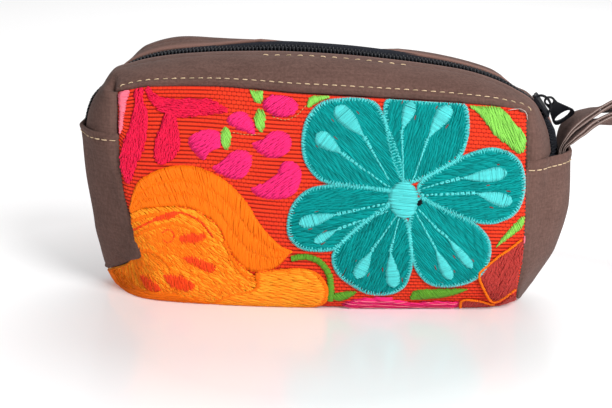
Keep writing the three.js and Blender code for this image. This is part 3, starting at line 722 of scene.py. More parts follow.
def chart_threads(paths, lifts, width):
    """Threads laid on the panel: chart paths (n, k, 2) and their lifts (n, k), as closed flat tubes."""
    flat = paths.reshape(-1, 2)
    points, out = cloth_frame(flat[:, 0], flat[:, 1])
    from_top = np.minimum(flat[:, 1], CLOTH_LENGTH - flat[:, 1])
    near_seam = np.clip(from_top / SEAM_EASE, LEAST_LIFT, 1)
    points = points + out * (lifts.ravel() * near_seam)[:, None]
    shape = paths.shape[:2] + (3,)
    radii = np.empty(paths.shape[:2] + (2,))
    taper = np.ones(paths.shape[1])
    taper[[0, -1]] = THREAD_END
    radii[..., 0] = width / 2 * taper
    radii[..., 1] = FLOSS_HEIGHT / 2 * taper
    points, faces = tube_mesh(points.reshape(shape), out.reshape(shape), radii, 4)
    points[:, 2] = np.maximum(points[:, 2], FLOSS_FLOOR)
    return points, faces


# Fillings: their shortest stitch, how far the stitches of a row reach past each other, how far the breaks
# shift from row to row in stitches, and how far in from the edge most of the puff is reached
SHORTEST_STITCH = 0.3
STITCH_OVERLAP = 0.35
STAGGER = 0.38
PUFF_REACH = 1.2


def hatch(outline, angle, pitch, stitch, rng, steps=4, base=0.15, puff=0.4, ragged=0.2, inset=0.0):
    """Parallel stitches that fill an outline, broken at staggered places; gives paths and lifts."""
    turn = np.array([[math.cos(angle), math.sin(angle)], [-math.sin(angle), math.cos(angle)]])
    ring = outline @ turn.T
    following = np.roll(ring, -1, axis=0)
    rows = []
    levels = np.arange(ring[:, 1].min() + pitch / 2 + inset, ring[:, 1].max() - inset, pitch)
    for i, level in enumerate(levels):
        crossing = (ring[:, 1] <= level) != (following[:, 1] <= level)
        a, b = ring[crossing], following[crossing]
        hits = np.sort(a[:, 0] + (level - a[:, 1]) / (b[:, 1] - a[:, 1]) * (b[:, 0] - a[:, 0]))
        for begin, end in zip(hits[0::2] + inset, hits[1::2] - inset):
            if end < begin + SHORTEST_STITCH:
                continue
            breaks = np.arange(begin + (0.2 + (i * STAGGER) % 1) * stitch, end - 0.35 * stitch, stitch)
            stops = np.concatenate([[begin], breaks, [end]])
            rows.extend((p, q, level, begin, end) for p, q in zip(stops[:-1], stops[1:]))
    if not rows:
        return np.zeros((0, steps, 2)), np.zeros((0, steps))
    p, q, level, begin, end = np.array(rows).T
    p = np.where(p > begin, p - STITCH_OVERLAP, p + rng.uniform(-0.15, 0.25, len(p)))
    q = np.where(q < end, q + STITCH_OVERLAP, q + rng.uniform(-0.25, 0.15, len(q)))
    t = np.linspace(0, 1, steps)[None, :]
    reach = p[:, None] + (q - p)[:, None] * t
    aside, slant = (rng.normal(0, ragged * pitch, (len(p), 1)) for _ in range(2))
    sway = level[:, None] + aside + slant * t
    paths = np.stack([reach, sway], -1) @ turn
    from_edge = np.minimum(reach - begin[:, None], end[:, None] - reach)
    full = 1 - np.exp(-np.maximum(from_edge, 0) / PUFF_REACH)
    lifts = base + puff * full - 0.16 * np.abs(2 * t - 1) ** 4
    return paths, lifts + rng.normal(0, 0.035, (len(p), 1))


def underlay(outline, angle, rng):
    """Wide, flat padding threads under a filled shape, so that no ground shows between its stitches."""
    paths, lifts = hatch(outline, angle, 0.9, 200.0, rng, steps=14, base=0.02, puff=0.3, inset=0.7)
    return paths, lifts, 1.5


def satin_underlay(rail_a, rail_b, rng):
    """Wide padding threads under stitches that lie straight across."""
    paths, lifts = satin(rail_a[::2], rail_b[::2], rng, steps=7, base=0.0, puff=0.34)
    return paths, lifts, 1.6


def satin(rail_a, rail_b, rng, steps=5, base=0.15, puff=0.45):
    """Stitches straight across from one rail to the other."""
    t = np.linspace(0, 1, steps)[None, :, None]
    sway = rng.normal(0, 0.07, (len(rail_a), 1, 2))
    paths = rail_a[:, None] + (rail_b - rail_a)[:, None] * t + sway
    lifts = base + puff * np.sin(math.pi * t[..., 0]) ** 0.6
    return paths, lifts + rng.normal(0, 0.03, (len(rail_a), 1))


def edge_stitches(outline, short, long, rng):
    """Stitches across the edge of an outline, reaching inwards by turns a short and a long way."""
    count = len(outline)
    after = np.roll(outline, -1, axis=0)
    tangent = unit(after - np.roll(outline, 1, axis=0))
    side = np.stack([-tangent[:, 1], tangent[:, 0]], 1)
    twice_area = np.sum(outline[:, 0] * after[:, 1] - outline[:, 1] * after[:, 0])
    side = side if twice_area > 0 else -side
    deep = np.where(np.arange(count) % 2, long, short) + rng.normal(0, 0.15, count)
    start = outline - side * 0.45
    end = outline + side * deep[:, None] + tangent * rng.normal(0.1, 0.12, (count, 1))
    t = np.linspace(0, 1, 4)[None, :, None]
    paths = start[:, None] + (end - start)[:, None] * t
    lifts = 0.42 + 0.3 * np.sin(math.pi * (0.15 + 0.7 * t[..., 0])) - 0.15
    return paths, np.repeat(lifts, count, 0) + rng.normal(0, 0.03, (count, 1))


def running_line(points, stitch, gap, rng, base):
    """A dotted line of short stitches along a row of points."""
    line = open_curve(points, 0.2)
    far = lengths_along(line)
    starts = np.arange(0, far[-1] - 0.6, stitch + gap)
    t = np.linspace(0, 1, 4)
    at = np.minimum(starts[:, None] + stitch * t[None, :], far[-1])
    paths = at_lengths(at, far, line) + rng.normal(0, 0.08, (len(starts), 1, 2))
    lifts = base + 0.12 * np.sin(math.pi * t)[None, :] + rng.normal(0, 0.03, (len(starts), 1))
    return paths, lifts


def drop_rails(head, tail, half, pitch):
    """The two sides of a tear drop, blunt at its head."""
    head, tail = np.array(head, float), np.array(tail, float)
    axis = head - tail
    count = max(6, int(np.linalg.norm(axis) / pitch))
    q = np.linspace(0.02, 0.995, count)
    # Divided by its greatest value, so that the drop is as wide as asked
    breadth = half * q ** 1.1 * (1 - q) ** 0.4 / (0.733 ** 1.1 * 0.267 ** 0.4)
    side = np.array([-axis[1], axis[0]]) / np.linalg.norm(axis)
    middle = tail + axis * q[:, None]
    return middle + side * breadth[:, None], middle - side * breadth[:, None]


def leaf_rails(rows, pitch):
    """The two sides of a wavy leaf given by its middle line and half breadths."""
    curve = open_curve(rows, pitch)
    tangent = unit(np.gradient(curve[:, :2], axis=0))
    side = np.stack([-tangent[:, 1], tangent[:, 0]], 1)
    half = np.maximum(curve[:, 2:], 0.2)
    return curve[:, :2] + side * half, curve[:, :2] - side * half


def even_rails(points, half, pitch):
    """The two sides of a line of even breadth."""
    return leaf_rails([(*point, half) for point in points], pitch)


def stitched_piece(name, groups, material, rng):
    """One piece from groups of stitches, some with a width of their own; every thread has its own tone."""
    all_points, all_faces, tones, shift = [], [[], []], [], 0
    for paths, lifts, *own_width in groups:
        if not len(paths):
            continue
        points, faces = chart_threads(paths, lifts, own_width[0] if own_width else FLOSS_WIDTH)
        all_points.append(points)
        for held, rows in zip(all_faces, faces):
            held.append(rows + shift)
        tones.append(np.repeat(rng.random(len(paths)), len(points) // len(paths)))
        shift += len(points)
    faces = [np.vstack(held) for held in all_faces]
    marks = {"tone": np.concatenate(tones)}
    make_piece(name, np.vstack(all_points), faces, material, marks=marks)


# Shader helpers

def srgb(red, green, blue):
    """Linear colour from the eight-bit values of a display colour."""
    shares = (value / 255 for value in (red, green, blue))
    return tuple(c / 12.92 if c <= 0.04045 else ((c + 0.055) / 1.055) ** 2.4 for c in shares) + (1.0,)


def fill(tree, node, sockets):
    """Inputs of a node: one given as another node's output is linked, any other value is set."""
    for key, value in sockets.items():
        if isinstance(value, bpy.types.NodeSocket):
            tree.links.new(value, node.inputs[key])
        else:
            node.inputs[key].default_value = value


def put(tree, kind, sockets=None, **settings):
    """A new node with its settings and inputs."""
    node = tree.nodes.new(kind)
    for key, value in settings.items():
        setattr(node, key, value)
    fill(tree, node, sockets or {})
    return node


def object_place(tree):
    return put(tree, "ShaderNodeTexCoord").outputs["Object"]


def noise(tree, place, scale, detail=2.0):
    sockets = {"Vector": place, "Scale": scale, "Detail": detail}
    return put(tree, "ShaderNodeTexNoise", sockets).outputs["Fac"]


def spread(tree, value, low, high, least=0.0, most=1.0):
    """The stretch of a value from low to high, spread from least to most and held there outside it."""
    sockets = {"Value": value, "From Min": low, "From Max": high, "To Min": least, "To Max": most}
    return put(tree, "ShaderNodeMapRange", sockets).outputs[0]


def math_node(tree, operation, *values):
    return put(tree, "ShaderNodeMath", dict(enumerate(values)), operation=operation).outputs[0]


def mix_colour(tree, factor, first, second):
    return put(tree, "ShaderNodeMix", {0: factor, 6: first, 7: second}, data_type="RGBA").outputs[2]


def new_group(name, *colours):
    """A group that takes colours and gives a colour and a height."""
    tree = bpy.data.node_groups.new(name, "ShaderNodeTree")
    for label in colours:
        tree.interface.new_socket(name=label, in_out="INPUT", socket_type="NodeSocketColor")
    tree.interface.new_socket(name="Colour", in_out="OUTPUT", socket_type="NodeSocketColor")
    tree.interface.new_socket(name="Height", in_out="OUTPUT", socket_type="NodeSocketFloat")
    return tree, tree.nodes.new("NodeGroupInput").outputs, tree.nodes.new("NodeGroupOutput")


def floss_group():
    """Tone of embroidery floss: each thread differs a little, with finer streaks along the fibres."""
    tree, given, result = new_group("floss_tone", "Lit", "Deep")
    tone = put(tree, "ShaderNodeAttribute", attribute_name="tone").outputs["Fac"]
    place = object_place(tree)
    patch = math_node(tree, "MULTIPLY", noise(tree, place, 260.0, 3.0), 0.6)
    shade = math_node(tree, "POWER", math_node(tree, "MULTIPLY_ADD", tone, 0.55, patch), 1.5)
    colour = mix_colour(tree, shade, given["Lit"], given["Deep"])
    fill(tree, result, {"Colour": colour, "Height": noise(tree, place, 2600.0)})
    return tree


def nap_group():
    """Brushed cloth: mottled nap over a fine crossed weave."""
    tree, given, result = new_group("brushed_nap", "Cloth", "Pale")
    place = object_place(tree)
    threads = []
    for stretch in ((1500.0, 1500.0, 130.0), (130.0, 130.0, 1500.0)):
        drawn_out = put(tree, "ShaderNodeMapping", {"Vector": place, "Scale": stretch}).outputs[0]
        threads.append(noise(tree, drawn_out, 1.0))
    weave = math_node(tree, "MULTIPLY", math_node(tree, "ADD", *threads), 0.5)
    cloth = math_node(tree, "ADD", weave, noise(tree, place, 900.0, 4.0))
    mottle = math_node(tree, "MULTIPLY", noise(tree, place, 70.0, 4.0), 0.5)
    total = math_node(tree, "ADD", math_node(tree, "MULTIPLY", cloth, 0.7), mottle)
    colour = mix_colour(tree, spread(tree, total, 0.62, 1.3), given["Cloth"], given["Pale"])
    fine = math_node(tree, "MULTIPLY", noise(tree, place, 2400.0, 3.0), 0.8)
    fill(tree, result, {"Colour": colour, "Height": math_node(tree, "ADD", cloth, fine)})
    return tree


def shared_group(name, build):
    return bpy.data.node_groups.get(name) or build()


def new_material(name):
    material = bpy.data.materials.new(name)
    material.use_nodes = True
    tree = material.node_tree
    return material, tree, tree.nodes["Principled BSDF"]


def bumped(tree, height, strength, distance):
    sockets = {"Height": height, "Strength": strength, "Distance": distance}
    return put(tree, "ShaderNodeBump", sockets).outputs["Normal"]


def floss_material(name, lit, deep, roughness=0.5):
    material, tree, surface = new_material(name)
    group = shared_group("floss_tone", floss_group)
    tone = put(tree, "ShaderNodeGroup", {"Lit": lit, "Deep": deep}, node_tree=group).outputs
    fill(tree, surface, {
        "Base Color": tone["Colour"], "Roughness": roughness, "Specular IOR Level": 0.1,
        "Normal": bumped(tree, tone["Height"], 0.3, 0.0001),
    })
    return material


def nap_material(name, cloth, pale, wear_and_highlight):
    """Brushed cloth; where a mesh carries an edge mark, it is mixed with a paler edge colour there: worn cut
    edges on the strap, a painted highlight on the bands' folded zip edges.
    """
    material, tree, surface = new_material(name)
    group = shared_group("brushed_nap", nap_group)
    nap = put(tree, "ShaderNodeGroup", {"Cloth": cloth, "Pale": pale}, node_tree=group).outputs
    edge = put(tree, "ShaderNodeAttribute", attribute_name="edge").outputs["Fac"]
    fill(tree, surface, {
        "Base Color": mix_colour(tree, edge, nap["Colour"], wear_and_highlight), "Roughness": 0.95,
        "Specular IOR Level": 0.1, "Sheen Weight": 0.06, "Sheen Roughness": 0.5,
        "Normal": bumped(tree, nap["Height"], 0.55, 0.0003),
    })
    return material


# Distance between the upright gaps of the woven cloth
BASKET_PITCH = 1.9


def weave_material(sizes, colours):
    """Red cloth: rounded ribs across the panel with upright gaps that make a basket, and painted shade in
    the grooves between the ribs and, more faintly, in the gaps.
    """
    material, tree, surface = new_material("ribbed_red")

    def reckon(operation, *values):
        return math_node(tree, operation, *values)

    def wave(value):
        return reckon("SINE", reckon("MULTIPLY", reckon("FRACT", value), math.pi))

    chart = put(tree, "ShaderNodeAttribute", attribute_name="cloth_mm").outputs["Vector"]
    x, _, rib = put(tree, "ShaderNodeSeparateXYZ", {0: chart}).outputs
    place = object_place(tree)
    gap = spread(tree, wave(rib), 0.3, 0.8, 1.0, 0.0)
    odd = reckon("MULTIPLY", reckon("FLOOR", rib), 0.5)
    column = reckon("ADD", reckon("DIVIDE", x, BASKET_PITCH), odd)
    slot = spread(tree, wave(column), 0.15, 0.6, 1.0, 0.0)
    basket = spread(tree, noise(tree, place, 45.0), 0.42, 0.6, 0.15, 0.8)
    holes = reckon("MULTIPLY", slot, basket)
    bridge = reckon("MULTIPLY", reckon("MULTIPLY", reckon("SUBTRACT", 1.0, slot), basket), 0.7)
    open_gap = reckon("MULTIPLY", gap, reckon("SUBTRACT", 1.0, bridge))
    # Painted shade: dark in the grooves between the ribs, less where the basket's bridges cross them, and
    # faintly in its gaps.
    dark = reckon("MAXIMUM", open_gap, reckon("MULTIPLY", holes, 0.3))
    fibre = noise(tree, place, 1300.0, 3.0)
    tint = reckon("MULTIPLY", reckon("ADD", fibre, noise(tree, place, 160.0, 3.0)), 0.5)
    warm = mix_colour(tree, tint, linear(colours.red_warm), linear(colours.red))
    height = reckon("SUBTRACT", reckon("MULTIPLY", fibre, 0.3), holes)
    fill(tree, surface, {
        "Base Color": mix_colour(tree, dark, warm, linear(colours.red_gap_shade)), "Roughness": 0.85,
        "Specular IOR Level": 0.15, "Sheen Weight": 0.03,
        "Normal": bumped(tree, height, 0.6, sizes.rib_depth),
    })
    return material


def plain_material(name, colour, roughness, scale, fleck=0.12):
    """Solid finishes: a colour with fine flecks, and a roughness that varies with them."""
    material, tree, surface = new_material(name)
    flecks = noise(tree, object_place(tree), scale, 4.0)
    lighter = tuple(min(1.0, c * (1 + 4 * fleck) + 0.02 * fleck) for c in colour[:3]) + (1.0,)
    fill(tree, surface, {
        "Base Color": mix_colour(tree, flecks, colour, lighter),
        "Roughness": spread(tree, flecks, 0.0, 1.0, roughness - 0.08, roughness + 0.1),
        "Specular IOR Level": 0.22,
        "Normal": bumped(tree, flecks, 0.12, 0.0001),
    })
    return material


# Settings

def length_property(name, description, millimetres):
    return FloatProperty(
        name=name, description=description, default=millimetres * MM, unit="LENGTH", precision=5,
    )


def colour_property(name, description, red, green, blue):
    default = srgb(red, green, blue)[:3]
    return FloatVectorProperty(
        name=name, description=description, default=default, subtype="COLOR", min=0, max=1,
    )


class PouchSizes(bpy.types.PropertyGroup):
    rib_pitch: length_property("Rib pitch", "Distance between the ribs of the red cloth", 1.6)
    rib_depth: length_property("Rib depth", "Depth of the groove between two ribs", 0.45)
    floss_pitch: length_property("Floss pitch", "Distance between embroidery threads", 0.46)
    edge_pitch: length_property("Edge pitch", "Distance between the edging stitches of a petal", 0.62)
    stitch_pitch: length_property("Stitch pitch", "Length of one top-stitch with its gap", 3.55)
    stitch_length: length_property("Stitch length", "Visible length of one top-stitch", 2.35)
    hem_length: length_property("Hem stitch length", "Visible length of one stitch on the hems", 2.9)
    seam_stitch: length_property(
        "Seam stitch line", "Top-stitching's distance from the band's lower edge", 2.7,
    )
    zip_pitch: length_property("Zip stitch pitch", "Length of one stitch beside the zip with its gap", 4.6)
    zip_stitch: length_property("Zip stitch line", "Top-stitching's distance from the zip edge", 5.2)
    coil_pitch: length_property("Coil pitch", "Distance between the turns of the zip coil", 1.5)


class PouchColours(bpy.types.PropertyGroup):
    red: colour_property("Red", "Ribs of the woven cloth", 224, 36, 26)
    red_warm: colour_property("Warm red", "Lit fibres of the ribs", 240, 72, 32)
    # Painted shade: the colour of the grooves between the ribs, also used for the cloth seen between
    # stitches.
    red_gap_shade: colour_property("Gap red", "Between the ribs", 128, 20, 10)
    brown: colour_property("Brown", "Brushed cloth", 80, 58, 52)
    brown_pale: colour_property("Pale brown", "Raised nap of the brushed cloth", 116, 88, 80)
    strap_edge: colour_property("Strap edge", "Worn cut edges of the strap's plies", 168, 154, 148)
    cream: colour_property("Cream", "Top-stitching thread", 232, 204, 166)
    tan: colour_property("Tan", "Dotted lines between the small petals", 214, 168, 104)
    fray: colour_property("Fray", "Loose ends at the panel's upper right corner", 226, 214, 204)
    teal: colour_property("Teal", "Petals of the large flower", 0, 162, 160)
    cyan: colour_property("Light cyan", "Edging and stamens of the large flower", 92, 222, 222)
    pink: colour_property("Hot pink", "Small petals", 255, 48, 128)
    crimson: colour_property("Crimson", "Wavy leaves", 246, 32, 78)
    orange: colour_property("Orange", "Outer petals of the orange flower", 255, 124, 18)
    amber: colour_property("Amber", "Heart of the orange flower", 255, 174, 44)
    scarlet: colour_property("Scarlet", "Blobs in the orange flower", 255, 78, 30)
    green: colour_property("Leaf green", "Leaves", 146, 220, 92)
    green_dark: colour_property("Stem green", "Stem and lower leaves", 104, 168, 50)
    maroon: colour_property("Maroon", "Petal at the lower right", 196, 66, 60)
    blush: colour_property("Blush", "Strip at the left edge", 250, 124, 146)
    black: colour_property("Black", "Zip tape, coil and metal", 20, 22, 28)


def linear(colour, factor=1.0):
    """A setting's colour for a socket, made darker or lighter."""
    return tuple(min(1.0, c * factor) for c in colour) + (1.0,)


def settings(context):
    return context.scene.pouch_sizes, context.scene.pouch_colours


def brown_cloth(colours):
    found = bpy.data.materials.get("brushed_brown")
    # The paler edge colour on the bands is a painted highlight along their folded zip edges, where the fold
    # catches the light.
    wear_and_highlight = linear(colours.brown_pale, 1.5)
    return found or nap_material("brushed_brown", linear(colours.brown), linear(colours.brown_pale), wear_and_highlight)


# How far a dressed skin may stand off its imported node: where it departs on purpose, and elsewhere
ALLOWED = {"front_band": 6, "back_band": 6, "left_gusset": 5.5, "right_gusset": 5.5, "zip_tape": 3.5}
ALLOWED_ELSEWHERE = 1.5


def fits(node, points):
    """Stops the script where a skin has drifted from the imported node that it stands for."""
    low, high = (np.array(corner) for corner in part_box(node))
    off = max(np.abs(points.min(0) * MM - low).max(), np.abs(points.max(0) * MM - high).max())
    if off > ALLOWED.get(node, ALLOWED_ELSEWHERE) * MM:
        raise RuntimeError(f"{node}: the cloth is {off / MM:.2f} mm off the packed part")


# Operators

# Part of the panel's breadth at each side that has closer columns, and how deep its edges are drawn in
PANEL_EDGE = 0.022
PANEL_TURN = 0.9


class POUCH_OT_panel(bpy.types.Operator):
    """Ribbed red cloth that wraps front, base and back"""
    bl_idname = "pouch.panel"
    bl_label = "Woven panel"

    def execute(self, context):
        sizes, colours = settings(context)
        ribs = round(CLOTH_LENGTH / (sizes.rib_pitch / MM))
        rib = np.linspace(0, ribs, 4 * ribs + 1)
        down = rib / ribs * CLOTH_LENGTH
        edge = np.linspace(0, PANEL_EDGE, 6)
        inner_part = np.linspace(PANEL_EDGE, 1 - PANEL_EDGE, 50)
        across = np.concatenate([edge[:-1], inner_part, 1 - edge[::-1][1:]])
        grid = panel_point(girth_at(down)[:, None], across[None, :])
        from_top = np.minimum(down, CLOTH_LENGTH - down)[:, None]
        # The ribs wander a little up and down
        wander = 0.45 * soft_wave(grid, 17) * ramp(from_top, 6)
        girth = girth_at(down[:, None] + wander)
        grid = panel_point(girth, np.broadcast_to(across, girth.shape))
        out = grid_normals(grid)
        width = np.linalg.norm(grid[:, -1] - grid[:, 0], axis=1)[:, None]
        from_side = np.minimum(across, 1 - across)[None, :] * width
        lift = -sizes.rib_depth / MM * (1 - np.sqrt(np.abs(np.sin(math.pi * rib))))[:, None]
        lift = lift - PANEL_TURN * bell(from_top, 1.2) - PANEL_TURN * bell(from_side, 1.3)
        lift = lift + 0.3 * soft_wave(grid, 24) * ramp(from_side, 8)
        outer = grid + out * lift[..., None]
        outer[..., 2] = np.maximum(outer[..., 2], BASE_LIFT)
        inner = grid + inward(grid) * PANEL_THICK
        points = np.concatenate([outer.reshape(-1, 3), inner.reshape(-1, 3)])
        fits("main_panel", points)
        chart = np.stack(np.broadcast_arrays(grid[..., 0], down[:, None], rib[:, None]), -1).reshape(-1, 3)
        faces = outward_faces(points, [wall_faces(len(down), len(across))])
        marks = {"cloth_mm": np.concatenate([chart, chart])}
        cloth = weave_material(sizes, colours)
        make_piece("panel_cloth", points, faces, cloth, ["main_panel"], marks=marks)
        return {"FINISHED"}


# The band's skin starts this part of a quarter turn above the panel's seam
BAND_START = 0.07
# Closer steps of the turn near the seam and near the zip
BAND_TURNS = np.concatenate([
    np.linspace(0, 0.3, 18)[:-1], np.linspace(0.3, 0.78, 12)[:-1], np.linspace(0.78, 1, 14),
])
# Rows of the ridge at which the skin is built, closer at both upper corners
BAND_PLACES = np.concatenate([
    np.linspace(0.02, 2.8, 50), np.linspace(2.84, 4.2, 70), np.linspace(4.25, 15.4, 170),
    np.linspace(15.44, 16.6, 40), np.linspace(16.65, LAST_ROW - 0.02, 40),
])
# Rows of the ridge between which the lower top-stitching is sewn, and those where it draws in the cloth
SEAM_STITCH_ROWS = (3.5, 16.45)
DRAWN_ROWS = (3.1, 16.4)
# Rows of the ridge at both upper corners, where that stitching runs this near to the band's edge
STITCH_CORNERS = (3.15, 16.8)
CORNER_REACH = 0.6
# Row of the ridge where the front band covers the panel's upper right corner, and its move there
COVER_ROW = 15.95
COVER_MOVE = np.array([-1.3, -0.7, -1.3])
# Row of the ridge of the front band's corner fold at its lower edge, and its slant in rows for a millimetre
FOLD_ROW = 3.02
FOLD_SLANT = 0.068


def stitch_reach(places, full):
    """Distance of the lower top-stitching from the band's edge; it runs down to the edge at both corners."""
    left = smooth_step(places - STITCH_CORNERS[0], 0.75)
    right = smooth_step(STITCH_CORNERS[1] - places, 0.9)
    return CORNER_REACH + (full - CORNER_REACH) * np.minimum(left, right)


def stitch_pulse(far, sizes):
    """How hard the thread draws in the cloth along a line of stitches."""
    return 0.65 + 0.35 * np.cos(2 * math.pi * far / (sizes.stitch_pitch / MM))


def band_grid(sign, sizes):
    """Dressed skin of a band, its outward directions, and the distances from its lower and its zip edge."""
    places = BAND_PLACES[:, None]
    grid = band_skin(sign, BAND_PLACES, BAND_START + (1 - BAND_START) * BAND_TURNS)
    steps = np.linalg.norm(np.diff(grid, axis=1), axis=2)
    edge = np.concatenate([np.zeros((len(places), 1)), np.cumsum(steps, 1)], 1)
    zip_edge = edge[:, -1:] - edge
    out = grid_normals(grid)
    if sign < 0:
        cover = bell(places - COVER_ROW, 0.35) * bell(edge, 3)
        grid = grid + cover[..., None] * COVER_MOVE
    pulse = stitch_pulse(lengths_along(grid[:, 0])[:, None], sizes)
    on_top = smooth_step(places - DRAWN_ROWS[0], 0.3) * smooth_step(DRAWN_ROWS[1] - places, 0.3)
    line = stitch_reach(places, sizes.seam_stitch / MM)
    # The turned edges are full, and both lines of stitches lie in a groove
    lift = 0.55 * on_top * bell(edge - 0.5 * line, 1.2) - 0.45 * bell(edge, 0.8)
    lift = lift - 0.45 * on_top * pulse * bell(edge - line, 0.9)
    lift = lift + 0.25 * bell(zip_edge, 2.5)
    lift = lift - 0.35 * pulse * bell(zip_edge - sizes.zip_stitch / MM, 1.0)
    lift = lift + 0.35 * soft_wave(grid, 15) * ramp(edge, 4) * ramp(zip_edge, 4)
    if sign < 0:
        # The corner fold beside the panel's top left corner with a swell on both sides of it, and the zip
        # lying open down the left end
        fold = places - FOLD_ROW - FOLD_SLANT * edge
        lift = lift - 3.0 * np.exp(-np.abs(fold / 0.18) ** 1.3) * bell(edge - 4.5, 5)
        lift = lift + 0.9 * bell(fold + 0.5, 0.28) * bell(edge - 4, 5)
        lift = lift + 1.5 * bell(places - 3.9, 0.6) * smooth_step(edge - 7, 9)
        lift = lift - 1.5 * smooth_step(3.4 - places, 0.9) * bell(zip_edge, 3.5)
    else:
        lift = lift - np.interp(places, *BACK_DROP) * bell(zip_edge, 11)
    return grid + out * lift[..., None], out, edge, zip_edge


class POUCH_OT_bands(bpy.types.Operator):
    """Brown bands in front of and behind the zip"""
    bl_idname = "pouch.bands"
    bl_label = "Zip bands"

    def execute(self, context):
        sizes, colours = settings(context)
        cloth = brown_cloth(colours)
        tuck_down = np.array([0.0, 0.0, -4.0])
        for name, sign in (("front_band", -1), ("back_band", 1)):
            grid, _, _, zip_edge = band_grid(sign, sizes)
            ends = [(row + tuck_down + inward(row) * 1.2)[None] for row in (grid[0], grid[-1])]
            grid = np.concatenate([ends[0], grid, ends[1]])
            points, faces = rounded_wall(grid, BAND_THICK)
            fits(name, points)
            # Painted highlight: near the zip edge, and on the rolled zip edge itself, the cloth is mixed
            # towards the pale edge colour.
            wear_and_highlight = np.zeros((len(grid), len(points) // len(grid)))
            wear_and_highlight[1:-1, :grid.shape[1]] = bell(zip_edge, 1.2)
            wear_and_highlight[1:-1, grid.shape[1]] = 1
            marks = {"edge": 0.75 * wear_and_highlight.ravel()}
            make_piece(f"{name}_cloth", points, faces, cloth, [name], marks=marks)
        return {"FINISHED"}


# Where the stitching along the zip comes out on the front band's face, in rows of the ridge
ZIP_STITCH_ROWS = (8.3, 11.6)
# How far the stitching lies below the edge of each hem
HEM_STITCH = {"left": 2.2, "right": 3.4}
# How far the hems stand outside the bands' ends
HEM_MARGIN = 0.9
# Seam key of the left gusset's lower front corner, its reach in keys above and below, and how far that
# corner is drawn over the panel
LIP_KEY = 3.72
LIP_REACH = (0.62, 0.3)
LIP_MOVE = np.array([3.7, -4.8, 0.0])


def band_end_x(side, y):
    """How far out the bands' lower end reaches at the given depths."""
    place = np.array([0.0 if side == "left" else float(LAST_ROW)])
    turns = np.linspace(0, 1, 60)
    front, back = (band_skin(sign, place, turns)[0] for sign in (-1, 1))
    ring = np.vstack([front, back[::-1]])
    return np.interp(y, ring[:, 1], ring[:, 0])


def gusset_grid(side, sizes):
    """Dressed skin of a gusset, its outward directions, and each point's way down from the hem."""
    keys = np.concatenate([np.linspace(1, 1.35, 18)[:-1], np.linspace(1.35, GUSSET_LAST_KEY, 46)])
    ways = 0.988 * np.sin(np.linspace(-1, 1, 84) * math.pi / 2)
    grid = gusset_skin(side, keys, ways)
    steps = np.linalg.norm(np.diff(grid, axis=0), axis=2)
    hem = np.concatenate([np.zeros((1, len(ways))), np.cumsum(steps, 0)], 0)
    far = lengths_along(grid[0])
    from_seam = np.minimum(far, far[-1] - far)[None, :]
    sign = -1 if side == "left" else 1
    # The hem goes round the outside of the bands' ends
    short = np.maximum(sign * (band_end_x(side, grid[0, :, 1]) - grid[0, :, 0]), -HEM_MARGIN)
    push = short[None, :] * ramp(from_seam, 2) + HEM_MARGIN * smooth_step(from_seam, 8)
    grid[..., 0] += sign * np.maximum(push, 0) * bell(hem, 10)
    if side == "left":
        reach = np.where(keys < LIP_KEY, *LIP_REACH)
        lip = bell(keys - LIP_KEY, reach)[:, None] * bell(far, 4)[None, :]
        grid += lip[..., None] * LIP_MOVE
    out = grid_normals(grid)
    pulse = stitch_pulse(far, sizes)[None, :]
    line = HEM_STITCH[side]
    lift = 0.35 / (1 + np.exp((hem - line) / 0.5)) - 0.4 * pulse * bell(hem - line, 0.9)
    lift = lift + 0.5 * soft_wave(grid, 13) * ramp(from_seam, 6) * ramp(hem, 6)
    lift = lift - 0.6 * bell(from_seam, 1.3) * ramp(hem, 5)
    return grid + out * lift[..., None], out, hem


class POUCH_OT_gussets(bpy.types.Operator):
    """Lower side panels with folded hems"""
    bl_idname = "pouch.gussets"
    bl_label = "Side gussets"

    def execute(self, context):
        sizes, colours = settings(context)
        cloth = brown_cloth(colours)
        for side in ("left", "right"):
            name = f"{side}_gusset"
            grid = gusset_grid(side, sizes)[0]
            points, faces = rounded_wall(np.swapaxes(grid, 0, 1), GUSSET_THICK)
            fits(name, points)
            make_piece(f"{name}_cloth", points, faces, cloth, [name])
        return {"FINISHED"}


def line_at(grid, out, distance, wanted):
    """The row of points, one for each line of a grid, where distance reaches that line's wanted value."""
    points, ups = [], []
    for row, up, far, reach in zip(grid, out, distance, wanted):
        order = np.argsort(far)
        points.append(at_lengths(reach, far[order], row[order]))
        ups.append(at_lengths(reach, far[order], up[order]))
    return np.array(points), unit(np.array(ups))


# Half the thickness of the top-stitching thread
THREAD_RADIUS = 0.21


def dashes(line, ups, pitch, length):
    """Thread dashes of a top-stitched line, dipping into the cloth at both ends."""
    far = lengths_along(line)
    middles = np.arange(length / 2 + 0.3, far[-1] - length / 2, pitch)
    t = np.linspace(-0.5, 0.5, 7)
    at = middles[:, None] + length * t[None, :]
    up = at_lengths(at, far, ups)
    rise = 0.2 - 0.5 * np.abs(2 * t) ** 4
    paths = at_lengths(at, far, line) + up * rise[None, :, None]
    radii = np.empty(paths.shape[:2] + (2,))
    radii[...] = THREAD_RADIUS * np.sqrt(np.clip(1.1 - (2 * t) ** 6, 0.15, 1))[None, :, None]
    return tube_mesh(paths, up, radii, 6)


def between(places, ends):
    return (places > ends[0]) & (places < ends[1])


